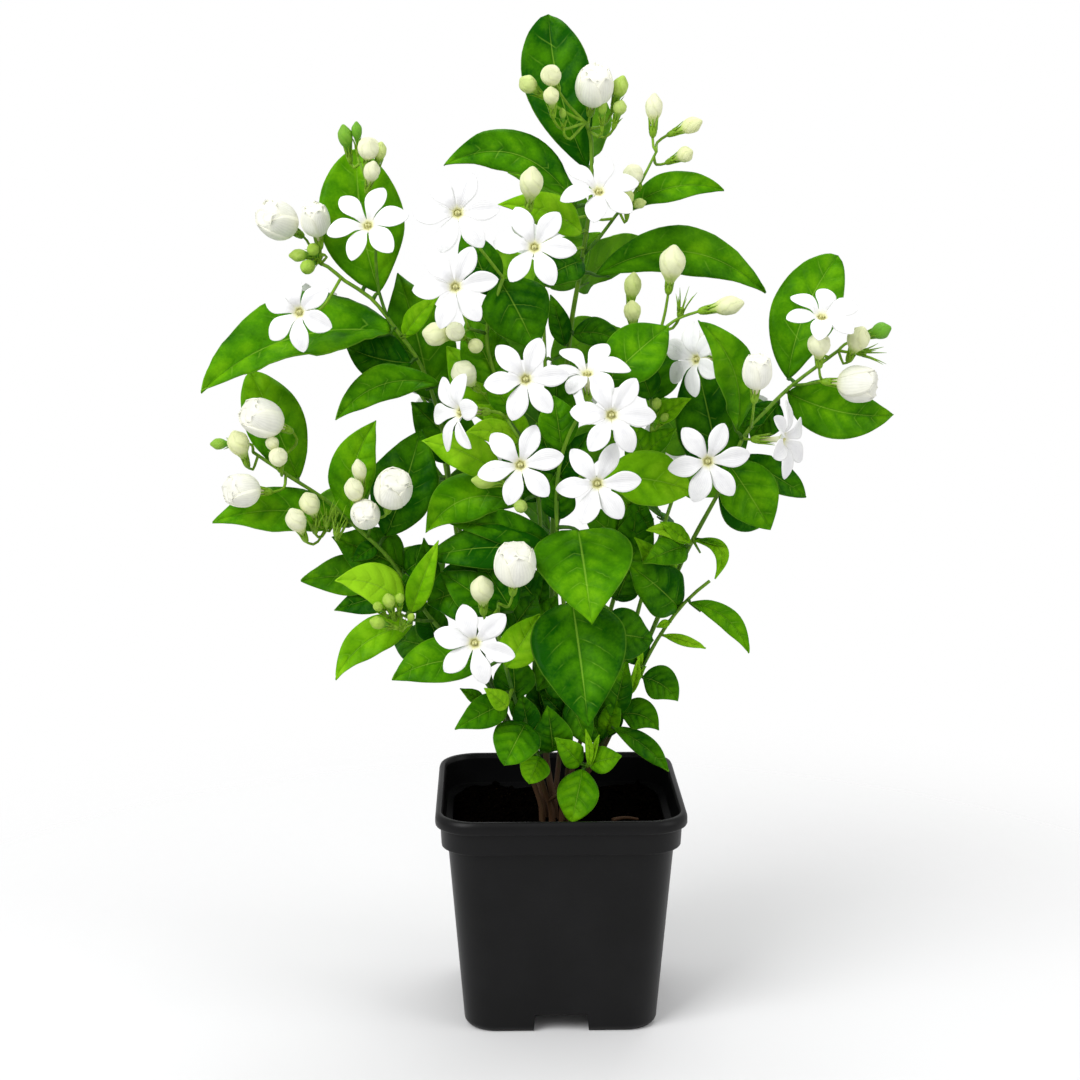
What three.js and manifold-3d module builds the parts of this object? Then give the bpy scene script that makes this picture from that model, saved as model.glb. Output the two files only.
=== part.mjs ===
// Potted Arabian jasmine: a square nursery pot of thin black plastic, filled with peat. Several
// leafy stems rise from it and carry white flowers with six petals, half open flowers and buds.
// Millimetres, +Z up. The origin is the middle of the pot's foot, and the front looks along +Y.

import * as THREE from 'three'
import { mergeVertices } from 'three/addons/utils/BufferGeometryUtils.js'
import Module from 'manifold-3d'

const wasm = await Module()
wasm.setup()

// Driving dimensions

const POT = {
  width: 90, // across the rolled rim
  corner: 14, // corner radius of the rim
  height: 82,
  rim: 5, // height of the rolled rim
  collar: 8, // height of the band under it
  collarWidth: 86.4,
  shoulderWidth: 81,
  footWidth: 70,
  wall: 1.3,
  foot: 6.8, // how far the floor stands above the ground
  floor: 1.5,
  notch: 20, // gap between two feet
  drain: 8, // diameter of a drain hole
  drainSpread: 17,
}

const SOIL = {
  top: 70,
  relief: 1.6,
  gap: 0.4, // to the pot, and round each stem
  rootDepth: 12, // how deep the stems stand in it
}

const TWIG = {
  radius: 0.8,
  places: [
    [20, -8, 70.8],
    [24, -7, 71.1],
    [29, -8, 70.9],
  ],
}

const LEAF = {
  thickness: 0.8,
  petiole: 1.5, // width of the stalk
  fold: 12, // degrees that each half of a wide leaf rises from flat
  wide: 25.5,
  long: 40,
  stations: [0, 0.2, 0.45, 0.72, 1], // where a long leaf's outline has corners
  fewStations: [0, 0.3, 0.7, 1],
}

const BLOOM = {
  reach: 14.4, // throat to petal tip
  petals: 6,
  petalWidth: 0.68, // how wide a petal is, where it is widest, and where the notch between two
  widest: 0.62, // petals lies, as shares of the reach
  notch: 0.32,
  thickness: 0.7,
  tube: 9, // length of the slender tube behind the petals
  tubeRadius: 1.2,
  lift: 1, // how far the petals rise above the throat midway
  sunk: 0.6, // how far the throat lies behind the flower's middle
}

const LOBE_GROOVE = 0.12 // how deep the lobes of a half open flower are parted

const STALK = 0.6 // radius of a flower's stalk
const CALYX = {
  length: 3,
  mouth: 1.7, // radius at its open end
  teeth: 3,
  tooth: 4.5,
  spread: 1.6, // how much wider apart the tips of the teeth stand
  sink: 1.2, // how far the cup's rim stands behind the flower's end
  gap: 0.35,
}

// Leaf outlines are told apart by where they are widest, as a share of the length
const OVATE = 0.38
const ELLIPTIC = 0.5
const OBOVATE = 0.62

// The spread of the plant was drawn as it looks to an eye in front of it. A place is given as
// [across, height, depth]: the first two are read on the upright plane through the pot's axis,
// and depth is how far the place then lies behind that plane along the line of sight.
const EYE = new THREE.Vector3(-24, -728, 306)

// Deeper than this the plant is seen from behind, and its leaves face that way
const REAR = 14

function place([across, height, depth]) {
  const reach = 1 - depth / EYE.y
  return new THREE.Vector3(
    EYE.x + (across - EYE.x) * reach,
    depth,
    EYE.z + (height - EYE.z) * reach,
  )
}

// The plant, stem by stem. Each branch is a list of places from the root end to the tip.

const stems = [
  {
    name: 'stem_crown',
    root: [-1.6, -3.2],
    branches: [
      branch(1.6, 0.9,
        [-4, 88, 1], [-5, 107, 4], [-3, 145, 8], [-2, 186, 8], [1, 218, 5], [4, 251, 0],
        [8, 275, -6], [11, 298, -8], [11, 317, -8], [9, 323, -13]),
      branch(0.9, 0.6,
        [9, 277, -6], [14, 283, -9], [20, 291, -12], [26, 298, -14], [31, 307, -16],
        [34, 313, -16]),
    ],
    leaves: [
      leaf([10, 307, -3], [-4, 360, 6], 24, -8, -0.05, 0.03, OBOVATE),
      leaf([6, 294, -11], [-40, 309, -24], 18, 10, 0.22, 0.06, ELLIPTIC),
      leaf([24, 293, -10], [58, 300, -12], 11, 0, -0.12, 0.05, ELLIPTIC),
      leaf([13, 270, -4], [74, 264, 6], 18, 5, -0.17, 0.06, ELLIPTIC),
      leaf([8, 285, -10], [-21, 295, -26], 14, 0, 0.05, 0.08, OVATE),
      leaf([8, 275, -8], [-10, 266, -22], 14, 0, 0, 0.1, OVATE),
      leaf([5, 249, -2], [23, 245, -10], 11, 0, -0.1, 0.08, OVATE),
      leaf([11, 311, 0], [4, 344, 34], 19, 0, 0, 0.1, ELLIPTIC),
      leaf([10, 284, -2], [-17, 306, 40], 18, 0, 0, 0.1, OVATE),
      leaf([7, 266, 2], [37, 281, 40], 20, 0, 0, 0.1, OVATE),
    ],
    open: [
      open('flower_crown_left', [-9, 280, -46], -5, 12, -4),
      open('flower_crown_right', [14, 300, -30], 5, 35, 15),
    ],
    half: [half('half_open_crown', [12, 335, -16], 8, 50, 13, 14)],
    free: [
      bud('bud_crown_left', [-10, 302, -34], 10, 62, 8, 11),
      bud('bud_crown_right', [33, 328, -16], 5, 78, 6, 9),
    ],
    buds: [
      bud('', [46, 322, -16], 60, 20, 5.5, 8),
      bud('', [44, 312, -15], 50, 20, 5.5, 6),
      bud('', [26, 305, -20], -20, 30, 7, 8),
      bud('', [-3, 339, -24], -20, 30, 7, 8),
      bud('', [-11, 336, -22], -50, 30, 6, 7),
      bud('', [21, 335, -14], 30, 60, 5.5, 8),
    ],
  },
  {
    name: 'stem_left',
    root: [-6.6, -3.6],
    branches: [
      branch(1.2, 0.8,
        [-10, 101, 7], [-22, 137, 7], [-37, 182, 1], [-42, 215, -8], [-49, 237, -15],
        [-59, 252, -18], [-67, 262, -19], [-76, 268, -20], [-82, 273, -20], [-89, 276, -17]),
      branch(0.8, 0.6,
        [-60, 255, -18], [-64, 264, -20], [-65, 275, -24], [-65, 288, -26], [-67, 299, -28],
        [-70, 309, -29]),
    ],
    leaves: [
      leaf([-64, 264, -13], [-71, 314, -14], 29.5, 5, -0.05, 0.04, ELLIPTIC),
      leaf([-60, 250, -19], [-128, 229, -40], 32.5, 26, 0.13, 0.04, OVATE, 28),
      leaf([-55, 249, -20], [-43, 263, -27], 8, 0, 0, 0.1, OVATE),
      leaf([-46, 226, -6], [-57, 271, 2], 25, 10, 0, 0.08, OVATE),
      leaf([-53, 239, -17], [-76, 245, -16], 18, 0, -0.08, 0.05, OVATE),
      leaf([-43, 231, -20], [-80, 219, -34], 13, 0, 0.15, 0.06, ELLIPTIC),
      leaf([-69, 266, -14], [-73, 289, 14], 15, 0, 0, 0.1, OVATE),
    ],
    open: [
      open('flower_left_top', [-68, 288, -45], -12, 28, 15),
      open('flower_left_edge', [-93, 257, -50], -18, 5, 40, 13.2),
    ],
    half: [
      half('half_open_left_edge', [-99, 289, -24], -41, 26, 13, 14.5),
      half('half_open_left_top', [-86, 289, -26], -10, 60, 10, 11.5),
    ],
    free: [],
    buds: [
      bud('', [-67, 314, -36], 10, 40, 7.5, 8),
      bud('', [-66, 306, -36], 20, 50, 5.5, 8),
      bud('', [-75, 318, -30], -20, 65, 5, 8),
      bud('', [-89, 273, -24], -30, -20, 5, 6),
    ],
  },
  {
    name: 'stem_centre',
    root: [-2.6, -7.2],
    branches: [
      branch(1.2, 0.8,
        [-7, 84, -7], [-9, 115, -9], [-8, 152, -12], [-7, 184, -17], [-12, 209, -22],
        [-21, 229, -26], [-26, 249, -29], [-20, 269, -28]),
      branch(0.8, 0.6, [-25, 249, -29], [-32, 251, -31], [-37, 248, -33]),
      branch(0.8, 0.6, [-13, 211, -23], [-18, 218, -34], [-19, 219, -42], [-14, 211, -47]),
    ],
    leaves: [
      leaf([-21, 268, -24], [-8, 243, -32], 24, 0, 0, 0.1, OVATE),
      leaf([-24, 263, -22], [-34, 287, -16], 15, 0, 0, 0.06, OVATE),
      leaf([-20, 197, -30], [-49, 211, -38], 14, 0, 0.06, 0.06, ELLIPTIC),
      leaf([-19, 215, -19], [-40, 245, -12], 17, 0, 0, 0.06, ELLIPTIC),
      leaf([-14, 188, -24], [-48, 178, -40], 19, 10, 0.18, 0.06, ELLIPTIC),
      leaf([-32, 204, 4], [-53, 225, 8], 21, 0, 0, 0.05, OVATE),
    ],
    open: [
      open('flower_centre_top', [-36, 292, -46], 0, 10, 7),
      open('flower_centre_left', [-37, 266, -54], 0, 8, 7),
      open('flower_centre', [-12, 233, -66], 0, 8, 9),
      open('flower_centre_side', [-37, 221, -52], -57, 2, 10),
      open('flower_centre_low', [-14, 202, -66], 0, 10, 11),
    ],
    half: [],
    free: [bud('bud_centre', [-34, 235, -34], -40, 40, 8.5, 10)],
    buds: [
      bud('', [-44, 249, -38], -60, 10, 8, 9),
      bud('', [-37, 250, -40], -20, 20, 6.5, 7),
      bud('', [-30, 245, -38], 20, -10, 5, 6),
      bud('', [-27, 196, -46], -60, 10, 5, 9),
      bud('', [-14, 187, -44], 20, -10, 4.5, 6),
    ],
  },
  {
    name: 'stem_front',
    root: [0.6, -10.8],
    branches: [
      branch(1.2, 0.8,
        [3, 84, -13], [5, 115, -20], [2, 148, -27], [-1, 186, -36], [2, 209, -40],
        [12, 228, -42]),
      branch(0.8, 0.6, [0, 189, -37], [6, 196, -44], [10, 200, -48]),
    ],
    leaves: [
      leaf([7, 178, -38], [12, 144, -66], 34, 0, 0, 0.06, OVATE, 14),
      leaf([5, 151, -36], [11, 105, -60], 33, 0, 0, 0.06, OVATE, 12),
      leaf([-1, 169, -30], [-49, 168, -34], 16, 0, 0.05, 0.08, ELLIPTIC),
      leaf([15, 230, -40], [39, 252, -32], 20, 0, 0, 0.1, ELLIPTIC),
      leaf([15, 197, -40], [49, 192, -38], 20, 0, -0.04, 0.08, ELLIPTIC),
      leaf([14, 140, -28], [35, 137, -20], 19, 0, 0, 0.08, OVATE),
    ],
    open: [
      open('flower_front_top', [10, 236, -53], -5, 56, 6),
      open('flower_front_right', [19, 220, -67], 5, 8, -3),
      open('flower_front_low', [14, 195, -64], 4, 6, 7),
    ],
    half: [],
    free: [],
    buds: [],
  },
  {
    name: 'stem_left_low',
    root: [-6.4, -7.8],
    branches: [
      branch(1.2, 0.8,
        [-14, 95, -7], [-21, 112, -10], [-32, 129, -14], [-48, 147, -17], [-61, 167, -21],
        [-74, 180, -24], [-85, 190, -25], [-97, 198, -25], [-110, 207, -24]),
      branch(0.8, 0.6, [-70, 175, -23], [-68, 182, -28], [-70, 189, -32]),
      branch(0.8, 0.6, [-46, 145, -16], [-53, 145, -26], [-59, 148, -34]),
    ],
    leaves: [
      leaf([-94, 197, -18], [-110, 236, -13], 21, 8, 0, 0.05, ELLIPTIC),
      leaf([-76, 180, -23], [-125, 182, -36], 18, 12, 0.08, 0.05, ELLIPTIC),
      leaf([-75, 182, -27], [-66, 218, -34], 16, 0, -0.09, 0.05, ELLIPTIC),
      leaf([-63, 176, -18], [-50, 215, -14], 25, -10, 0.04, 0.05, ELLIPTIC),
      leaf([-56, 164, -16], [-82, 176, -20], 20, 0, 0, 0.06, OVATE),
      leaf([-57, 160, -16], [-94, 160, -12], 15, 0, 0.03, 0.06, ELLIPTIC),
      leaf([-56, 156, -16], [-82, 149, -18], 12, 0, 0, 0.06, OVATE),
      leaf([-57, 151, -32], [-81, 160, -42], 16, 10, 0.1, 0.06, OVATE),
      leaf([-54, 148, -30], [-44, 174, -38], 9, 0, 0, 0.06, OVATE),
      leaf([-54, 143, -28], [-82, 123, -38], 14, 10, 0.12, 0.06, OVATE),
      leaf([-38, 132, -8], [-61, 138, 14], 17, 0, 0, 0.08, OVATE),
    ],
    open: [],
    half: [
      half('half_open_low_edge', [-114, 193, -39], -52, 8, 11.5, 12.5),
      half('half_open_left_low', [-106, 219, -36], -50, 25, 13, 15),
      half('half_open_left_large', [-60, 193, -44], 18, 48, 13, 14),
      half('half_open_left_small', [-70, 184, -42], -5, 30, 10, 11),
    ],
    free: [],
    buds: [
      bud('', [-90, 188, -36], -25, 55, 7, 9),
      bud('', [-95, 182, -38], -30, 55, 7, 9.5),
      bud('', [-72, 200, -40], -20, 70, 5, 8),
      bud('', [-74, 193, -44], -20, 60, 6.5, 9),
      bud('', [-115, 210, -32], -30, 60, 7.5, 9.5),
      bud('', [-62, 152, -40], -20, 60, 4.5, 6),
      bud('', [-66, 144, -42], -60, 20, 4.5, 6),
    ],
  },
  {
    name: 'stem_low',
    root: [-3.2, -11.2],
    branches: [
      branch(1.2, 0.8,
        [-5, 80, -16], [-11, 99, -22], [-17, 118, -32], [-22, 139, -38], [-22, 151, -40]),
      branch(1, 0.7, [1, 76, -15], [5, 82, -18], [10, 89, -20]),
    ],
    leaves: [
      leaf([-25, 128, -36], [-61, 123, -46], 17, 8, 0.09, 0.06, ELLIPTIC),
      leaf([-19, 127, -42], [-7, 147, -39], 14, 0, 0, 0.06, OVATE),
      leaf([-22, 153, -30], [-48, 151, -28], 22, 0, 0.1, 0.08, ELLIPTIC),
      leaf([-19, 114, -35], [-38, 104, -45], 12, 0, 0, 0.06, OVATE),
      leaf([-12, 106, -31], [-20, 90, -48], 17, 0, 0, 0.1, ELLIPTIC),
      leaf([-7, 93, -26], [-11, 83, -34], 11, 0, 0, 0.1, OVATE),
      leaf([9, 88, -21], [5, 68, -33], 15, 0, 0, 0.1, ELLIPTIC),
      leaf([11, 90, -20], [23, 93, -25], 10, 0, 0, 0.1, ELLIPTIC),
      leaf([-2, 95, -22], [-4, 112, -28], 15, 0, 0, 0.08, OVATE),
      leaf([-16, 115, -30], [-17, 133, -26], 15, 0, 0, 0.08, OVATE),
    ],
    open: [open('flower_low', [-31, 136, -62], -5, 6, 44)],
    half: [half('half_open_low', [-16, 165, -60], 8, 62, 14, 15)],
    free: [bud('bud_low', [-28, 156, -52], -6, 66, 8, 10)],
    buds: [],
  },
  {
    name: 'stem_right',
    root: [2.8, -3.6],
    branches: [
      branch(1.3, 0.8,
        [17, 97, 5], [30, 130, 1], [43, 162, -8], [49, 175, -14], [60, 196, -19],
        [66, 211, -18], [74, 221, -15], [83, 230, -10], [92, 237, -9], [100, 243, -10]),
      branch(0.7, 0.6, [84, 230, -10], [89, 231, -12], [95, 232, -14]),
    ],
    leaves: [
      leaf([64, 214, -26], [51, 253, -50], 15.5, 8, 0.1, 0.05, ELLIPTIC),
      leaf([82, 233, -4], [99, 277, 8], 24, -8, -0.06, 0.05, ELLIPTIC),
      leaf([82, 228, -6], [121, 220, 0], 21, 12, 0.08, 0.05, OVATE),
      leaf([79, 224, -10], [69, 211, -8], 13, 0, 0, 0.08, OVATE),
      leaf([60, 204, -21], [77, 178, -27], 21, 0, 0, 0.06, ELLIPTIC),
      leaf([59, 198, -12], [75, 180, -6], 18, 0, 0.1, 0.06, ELLIPTIC),
      leaf([65, 205, -14], [90, 190, -10], 12, 0, 0, 0.06, ELLIPTIC),
      leaf([59, 196, -8], [48, 243, 8], 26, 0, 0, 0.05, OVATE),
      leaf([49, 174, -15], [57, 160, -22], 5.5, 0, -0.4, 0.1, ELLIPTIC),
      leaf([47, 173, -15], [37, 181, -20], 6, 0, 0, 0.1, ELLIPTIC),
      leaf([46, 172, -15], [31, 166, -28], 12, 0, 0, 0.1, OVATE),
    ],
    open: [
      open('flower_right', [54, 203, -46], 5, 5, 8),
      open('flower_right_top', [94, 256, -24], 4, 48, 15, 13.6),
      open('flower_right_side', [82, 211, -30], 57, 4, 20, 13.6),
    ],
    half: [
      half('half_open_right', [71, 235, -48], 4, 68, 10, 12),
      half('half_open_right_edge', [107, 231, -20], 70, -2, 13, 14),
    ],
    free: [
      bud('bud_right', [93, 245, -24], -12, 58, 8, 9),
      bud('bud_right_edge', [107, 247, -18], 25, 55, 8, 9.5),
    ],
    buds: [bud('', [115, 250, -12], 70, 20, 6, 7)],
  },
  {
    name: 'stem_mid_right',
    root: [2.2, 0.6],
    branches: [
      branch(1.2, 0.8,
        [10, 107, 10], [17, 141, 6], [28, 182, -3], [33, 211, -13], [33, 229, -18],
        [36, 250, -23]),
      branch(0.7, 0.6, [33, 226, -17], [30, 240, -18], [28, 250, -19]),
    ],
    leaves: [
      leaf([34, 218, -20], [47, 226, -26], 8, 0, 0, 0.08, OVATE),
      leaf([33, 225, -12], [37, 250, -10], 17, 0, 0, 0.06, OVATE),
      leaf([33, 226, -20], [26, 243, -24], 11, 0, 0, 0.06, OVATE),
      leaf([29, 189, 0], [39, 211, 20], 18, 0, 0, 0.06, OVATE),
    ],
    open: [open('flower_right_inner', [48, 240, -30], -45, 6, 40, 13.2)],
    half: [],
    free: [
      bud('bud_top_right', [40, 274, -30], 12, 68, 9, 12),
      bud('bud_right_inner', [60, 259, -32], 66, 12, 6.5, 10.5),
    ],
    buds: [
      bud('', [26, 266, -21], 10, 65, 6, 9.5),
      bud('', [26, 257, -24], -10, 60, 6, 8),
    ],
  },
  {
    name: 'stem_right_low',
    root: [3.4, -7.8],
    branches: [
      branch(1.2, 0.8, [16, 98, -8], [25, 115, -10], [36, 137, -12], [46, 151, -14], [55, 159, -17]),
    ],
    leaves: [
      leaf([48, 151, -15], [70, 132, -20], 10, 0, -0.14, 0.05, ELLIPTIC),
      leaf([38, 139, -13], [54, 134, -17], 4, 0, 0, 0.05, ELLIPTIC),
      leaf([31, 123, -12], [44, 114, -14], 13, 0, -0.1, 0.05, OVATE),
      leaf([23, 109, -11], [37, 103, -16], 12, 0, -0.16, 0.05, OVATE),
      leaf([20, 104, -12], [41, 87, -14], 8, 0, -0.06, 0.05, ELLIPTIC),
      leaf([44, 149, -12], [25, 166, -22], 19, 0, 0, 0.08, OVATE),
      leaf([30, 128, -10], [22, 148, -14], 12, 0, 0, 0.08, OVATE),
    ],
    open: [],
    half: [],
    free: [],
    buds: [],
  },
  {
    name: 'stem_back_left',
    root: [-5.4, 0.8],
    branches: [
      branch(1.2, 0.8,
        [-20, 107, 16], [-33, 152, 24], [-39, 189, 32], [-44, 215, 38], [-52, 231, 40],
        [-66, 243, 40], [-80, 253, 40]),
      branch(0.8, 0.6, [-40, 198, 34], [-52, 197, 42], [-68, 193, 48]),
    ],
    leaves: [
      leaf([-76, 252, 40], [-108, 251, 46], 16, 0, 0, 0.06, ELLIPTIC),
      leaf([-48, 226, 40], [-28, 241, 60], 20, 0, 0, 0.06, ELLIPTIC),
      leaf([-70, 189, 50], [-94, 179, 58], 19, 0, 0, 0.06, OVATE),
      leaf([-41, 197, 36], [-63, 201, 56], 18, 0, 0, 0.06, ELLIPTIC),
      leaf([-57, 236, 41], [-46, 257, 60], 19, 0, 0, 0.06, OVATE),
      leaf([-39, 186, 34], [-24, 203, 56], 20, 0, 0, 0.06, OVATE),
      leaf([-42, 167, 30], [-72, 156, 44], 20, 0, 0, 0.06, OVATE),
      leaf([-35, 162, 30], [-24, 167, 58], 19, 0, 0, 0.08, OVATE),
    ],
    open: [
      open('flower_back_left_edge', [-89, 255, 66], 205, 10, 20),
      open('flower_back_left', [-43, 229, 70], 178, 12, 10),
    ],
    half: [half('half_open_back_left', [-75, 203, 66], 195, 20, 13, 14)],
    free: [],
    buds: [
      bud('', [-82, 254, 56], 200, 40, 7.5, 9),
    ],
  },
  {
    name: 'stem_back',
    root: [-1.4, 1.2],
    branches: [
      branch(1.3, 0.8, [1, 107, 18], [-1, 152, 26], [-3, 196, 34], [-5, 236, 39], [-6, 270, 40]),
      branch(0.8, 0.6, [-4, 218, 37], [0, 225, 48], [4, 231, 56]),
    ],
    leaves: [
      leaf([-7, 260, 41], [-28, 279, 50], 20, 0, 0, 0.06, OVATE),
      leaf([-4, 266, 41], [14, 285, 50], 20, 0, 0, 0.06, OVATE),
      leaf([-7, 243, 42], [-32, 258, 56], 22, 0, 0, 0.06, OVATE),
      leaf([-3, 240, 42], [22, 251, 58], 22, 0, 0, 0.06, OVATE),
      leaf([-5, 215, 40], [-28, 231, 60], 21, 0, 0, 0.06, OVATE),
      leaf([-1, 200, 38], [23, 213, 60], 22, 0, 0, 0.06, OVATE),
      leaf([-3, 178, 34], [-20, 193, 62], 20, 0, 0, 0.06, OVATE),
      leaf([1, 162, 32], [21, 167, 56], 20, 0, 0, 0.06, OVATE),
      leaf([-1, 148, 28], [-11, 134, 52], 18, 0, 0, 0.08, OVATE),
      leaf([2, 118, 22], [15, 118, 46], 15, 0, 0, 0.08, OVATE),
    ],
    open: [
      open('flower_back_top', [-5, 283, 58], 178, 20, 25),
      open('flower_back', [9, 236, 70], 172, 10, 12),
      open('flower_back_low', [-12, 206, 70], 186, 8, 40),
    ],
    half: [],
    free: [],
    buds: [],
  },
  {
    name: 'stem_back_right',
    root: [6, -0.2],
    branches: [
      branch(1.2, 0.8, [19, 107, 17], [30, 152, 25], [41, 189, 34], [49, 211, 38], [55, 227, 40]),
      branch(0.8, 0.6, [44, 196, 35], [41, 198, 46], [38, 199, 54]),
    ],
    leaves: [
      leaf([56, 227, 41], [64, 240, 52], 15, 0, 0, 0.06, OVATE),
      leaf([53, 216, 40], [77, 223, 48], 19, 0, 0, 0.06, OVATE),
      leaf([47, 207, 39], [31, 227, 58], 20, 0, 0, 0.06, OVATE),
      leaf([45, 196, 36], [70, 193, 52], 20, 0, 0, 0.06, OVATE),
      leaf([38, 182, 34], [26, 189, 62], 19, 0, 0, 0.06, OVATE),
      leaf([35, 167, 30], [42, 161, 56], 17, 0, 0, 0.06, OVATE),
      leaf([24, 137, 28], [15, 148, 54], 18, 0, 0, 0.08, OVATE),
    ],
    open: [
      open('flower_back_right_edge', [64, 221, 64], 150, 12, 35),
      open('flower_back_right', [37, 205, 70], 176, 8, 5),
    ],
    half: [half('half_open_back_right', [50, 243, 64], 165, 40, 12, 13)],
    free: [],
    buds: [],
  },
]

function branch(rootRadius, tipRadius, ...places) {
  return { rootRadius, tipRadius, places }
}

// Width is across the middle, turn is in degrees about the midrib, and bow and arch are how far
// the midrib bends in the blade's plane and out of it, as shares of the length.
function leaf(base, tip, width, turn, bow, arch, widest, fold = LEAF.fold) {
  return { base, tip, width, turn, bow, arch, widest, fold }
}

// Flowers look along a compass angle, 0 to the front and 90 to the right, raised by an elevation.
function open(name, throat, compass, elevation, spin, reach = BLOOM.reach) {
  return { name, throat, compass, elevation, spin, reach }
}

function half(name, centre, compass, elevation, width, length) {
  return { name, centre, compass, elevation, width, length, lobes: 5, tube: 3 }
}

function bud(name, centre, compass, elevation, width, length) {
  return { name, centre, compass, elevation, width, length, lobes: 0, tube: 1 }
}

// Solids and meshes

function solid(geometry) {
  const bare = new THREE.BufferGeometry()
  bare.setAttribute('position', geometry.getAttribute('position'))
  bare.setIndex(geometry.getIndex())
  const merged = mergeVertices(bare, 1e-5)
  return new wasm.Manifold(
    new wasm.Mesh({
      numProp: 3,
      vertProperties: new Float32Array(merged.getAttribute('position').array),
      triVerts: new Uint32Array(merged.getIndex().array),
    }),
  )
}

const joined = (solids) => solids.reduce((whole, piece) => whole.add(piece))
const cut = (whole, tools) => tools.reduce((rest, tool) => rest.subtract(tool), whole)

function mesh(name, body, material) {
  const { vertProperties, triVerts } = body.getMesh()
  const geometry = new THREE.BufferGeometry()
  geometry.setAttribute('position', new THREE.BufferAttribute(vertProperties, 3))
  geometry.setIndex(new THREE.BufferAttribute(triVerts, 1))
  const flat = geometry.toNonIndexed()
  flat.computeVertexNormals()
  const result = new THREE.Mesh(flat, material.clone())
  result.name = name
  return result
}

// Moves every corner of a geometry to where a formula puts it
function reshape(geometry, where) {
  const corners = geometry.getAttribute('position')
  const corner = new THREE.Vector3()
  for (let i = 0; i < corners.count; i++) {
    const moved = where(corner.fromBufferAttribute(corners, i))
    corners.setXYZ(i, moved.x, moved.y, moved.z)
  }
  return geometry
}

// A frame of three directions whose third is the given one and whose second leans upwards
function axes(direction) {
  const ahead = direction.clone().normalize()
  const upright = Math.abs(ahead.z) > 0.95 ? new THREE.Vector3(0, 1, 0) : new THREE.Vector3(0, 0, 1)
  const right = new THREE.Vector3().crossVectors(upright, ahead).normalize()
  const up = new THREE.Vector3().crossVectors(ahead, right)
  return new THREE.Matrix4().makeBasis(right, up, ahead)
}

// A round rod with one ring of corners at each place, as wide there as its radius says. The
// corners of the first ring can be moved on: out from the middle, and along the rod.
function rod(places, radii, sides, draw = () => [1, 0]) {
  const steps = places.length - 1
  const upright = new THREE.CylinderGeometry(1, 1, 1, sides, steps)
  return reshape(upright, ({ x, y, z }) => {
    const ring = Math.round((0.5 - y) * steps)
    const before = places[Math.max(ring - 1, 0)]
    const after = places[Math.min(ring + 1, steps)]
    const [out, on] = ring === 0 && Math.hypot(x, z) > 0.5 ? draw(Math.atan2(x, z)) : [1, 0]
    const radius = radii[ring] * out
    const corner = new THREE.Vector3(z * radius, x * radius, on)
    return corner.applyMatrix4(axes(before.clone().sub(after))).add(places[ring])
  })
}

// Gives a thin sheet an even thickness. Both faces are split into the same triangles.
function thickened(sheet, thickness) {
  sheet.deleteAttribute('uv')
  sheet.deleteAttribute('normal')
  const skin = mergeVertices(sheet, 1e-5)
  skin.computeVertexNormals()
  const corners = skin.getAttribute('position')
  const normals = skin.getAttribute('normal')
  const offset = (amount) =>
    Array.from({ length: corners.count }, (_, i) => {
      const corner = new THREE.Vector3().fromBufferAttribute(corners, i)
      return corner.addScaledVector(new THREE.Vector3().fromBufferAttribute(normals, i), amount)
    })
  const front = Array.from(skin.getIndex().array)
  const back = front.map((_, i) => corners.count + front[i - (i % 3) + 2 - (i % 3)])
  const faces = [...front, ...back]
  for (const [from, to] of openEdges(front)) {
    faces.push(to, from, corners.count + from, corners.count + from, corners.count + to, to)
  }
  const points = [...offset(thickness / 2), ...offset(-thickness / 2)]
  return new THREE.BufferGeometry().setFromPoints(points).setIndex(faces)
}

// The edges that only one triangle of a sheet has
function openEdges(faces) {
  const edges = new Map()
  for (let i = 0; i < faces.length; i++) {
    const from = faces[i]
    const to = faces[i % 3 === 2 ? i - 2 : i + 1]
    if (!edges.delete(`${to} ${from}`)) edges.set(`${from} ${to}`, [from, to])
  }
  return edges.values()
}

// Pot

// Corners per quarter of the pot's outline
const QUARTER = 4

// A point of a rounded square: a turn of 0 to 1 round it, half its width and its corner radius
function onRoundedSquare(turn, halfWidth, corner) {
  const step = Math.round(turn * 4 * QUARTER) % (4 * QUARTER)
  const quarter = Math.floor(step / QUARTER)
  const angle = ((step % QUARTER) / (QUARTER - 1)) * (Math.PI / 2) + (quarter * Math.PI) / 2
  const centreX = (halfWidth - corner) * (quarter === 0 || quarter === 3 ? 1 : -1)
  const centreY = (halfWidth - corner) * (quarter < 2 ? 1 : -1)
  return new THREE.Vector2(centreX + corner * Math.cos(angle), centreY + corner * Math.sin(angle))
}

// A closed solid with a rounded square plan, from a profile of [half width, height] pairs that
// starts and ends on the axis
function squareTurned(profile, cornerShare) {
  const outline = profile.map(([x, y]) => new THREE.Vector2(x, y))
  const lathe = new THREE.LatheGeometry(outline, 4 * QUARTER)
  return reshape(lathe, (corner) => {
    const halfWidth = Math.hypot(corner.x, corner.z)
    const turn = (Math.atan2(corner.z, corner.x) / (2 * Math.PI) + 1) % 1
    const plan = onRoundedSquare(turn, halfWidth, halfWidth * cornerShare)
    return new THREE.Vector3(plan.x, plan.y, corner.y)
  })
}

const CORNER_SHARE = POT.corner / (POT.width / 2)

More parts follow.
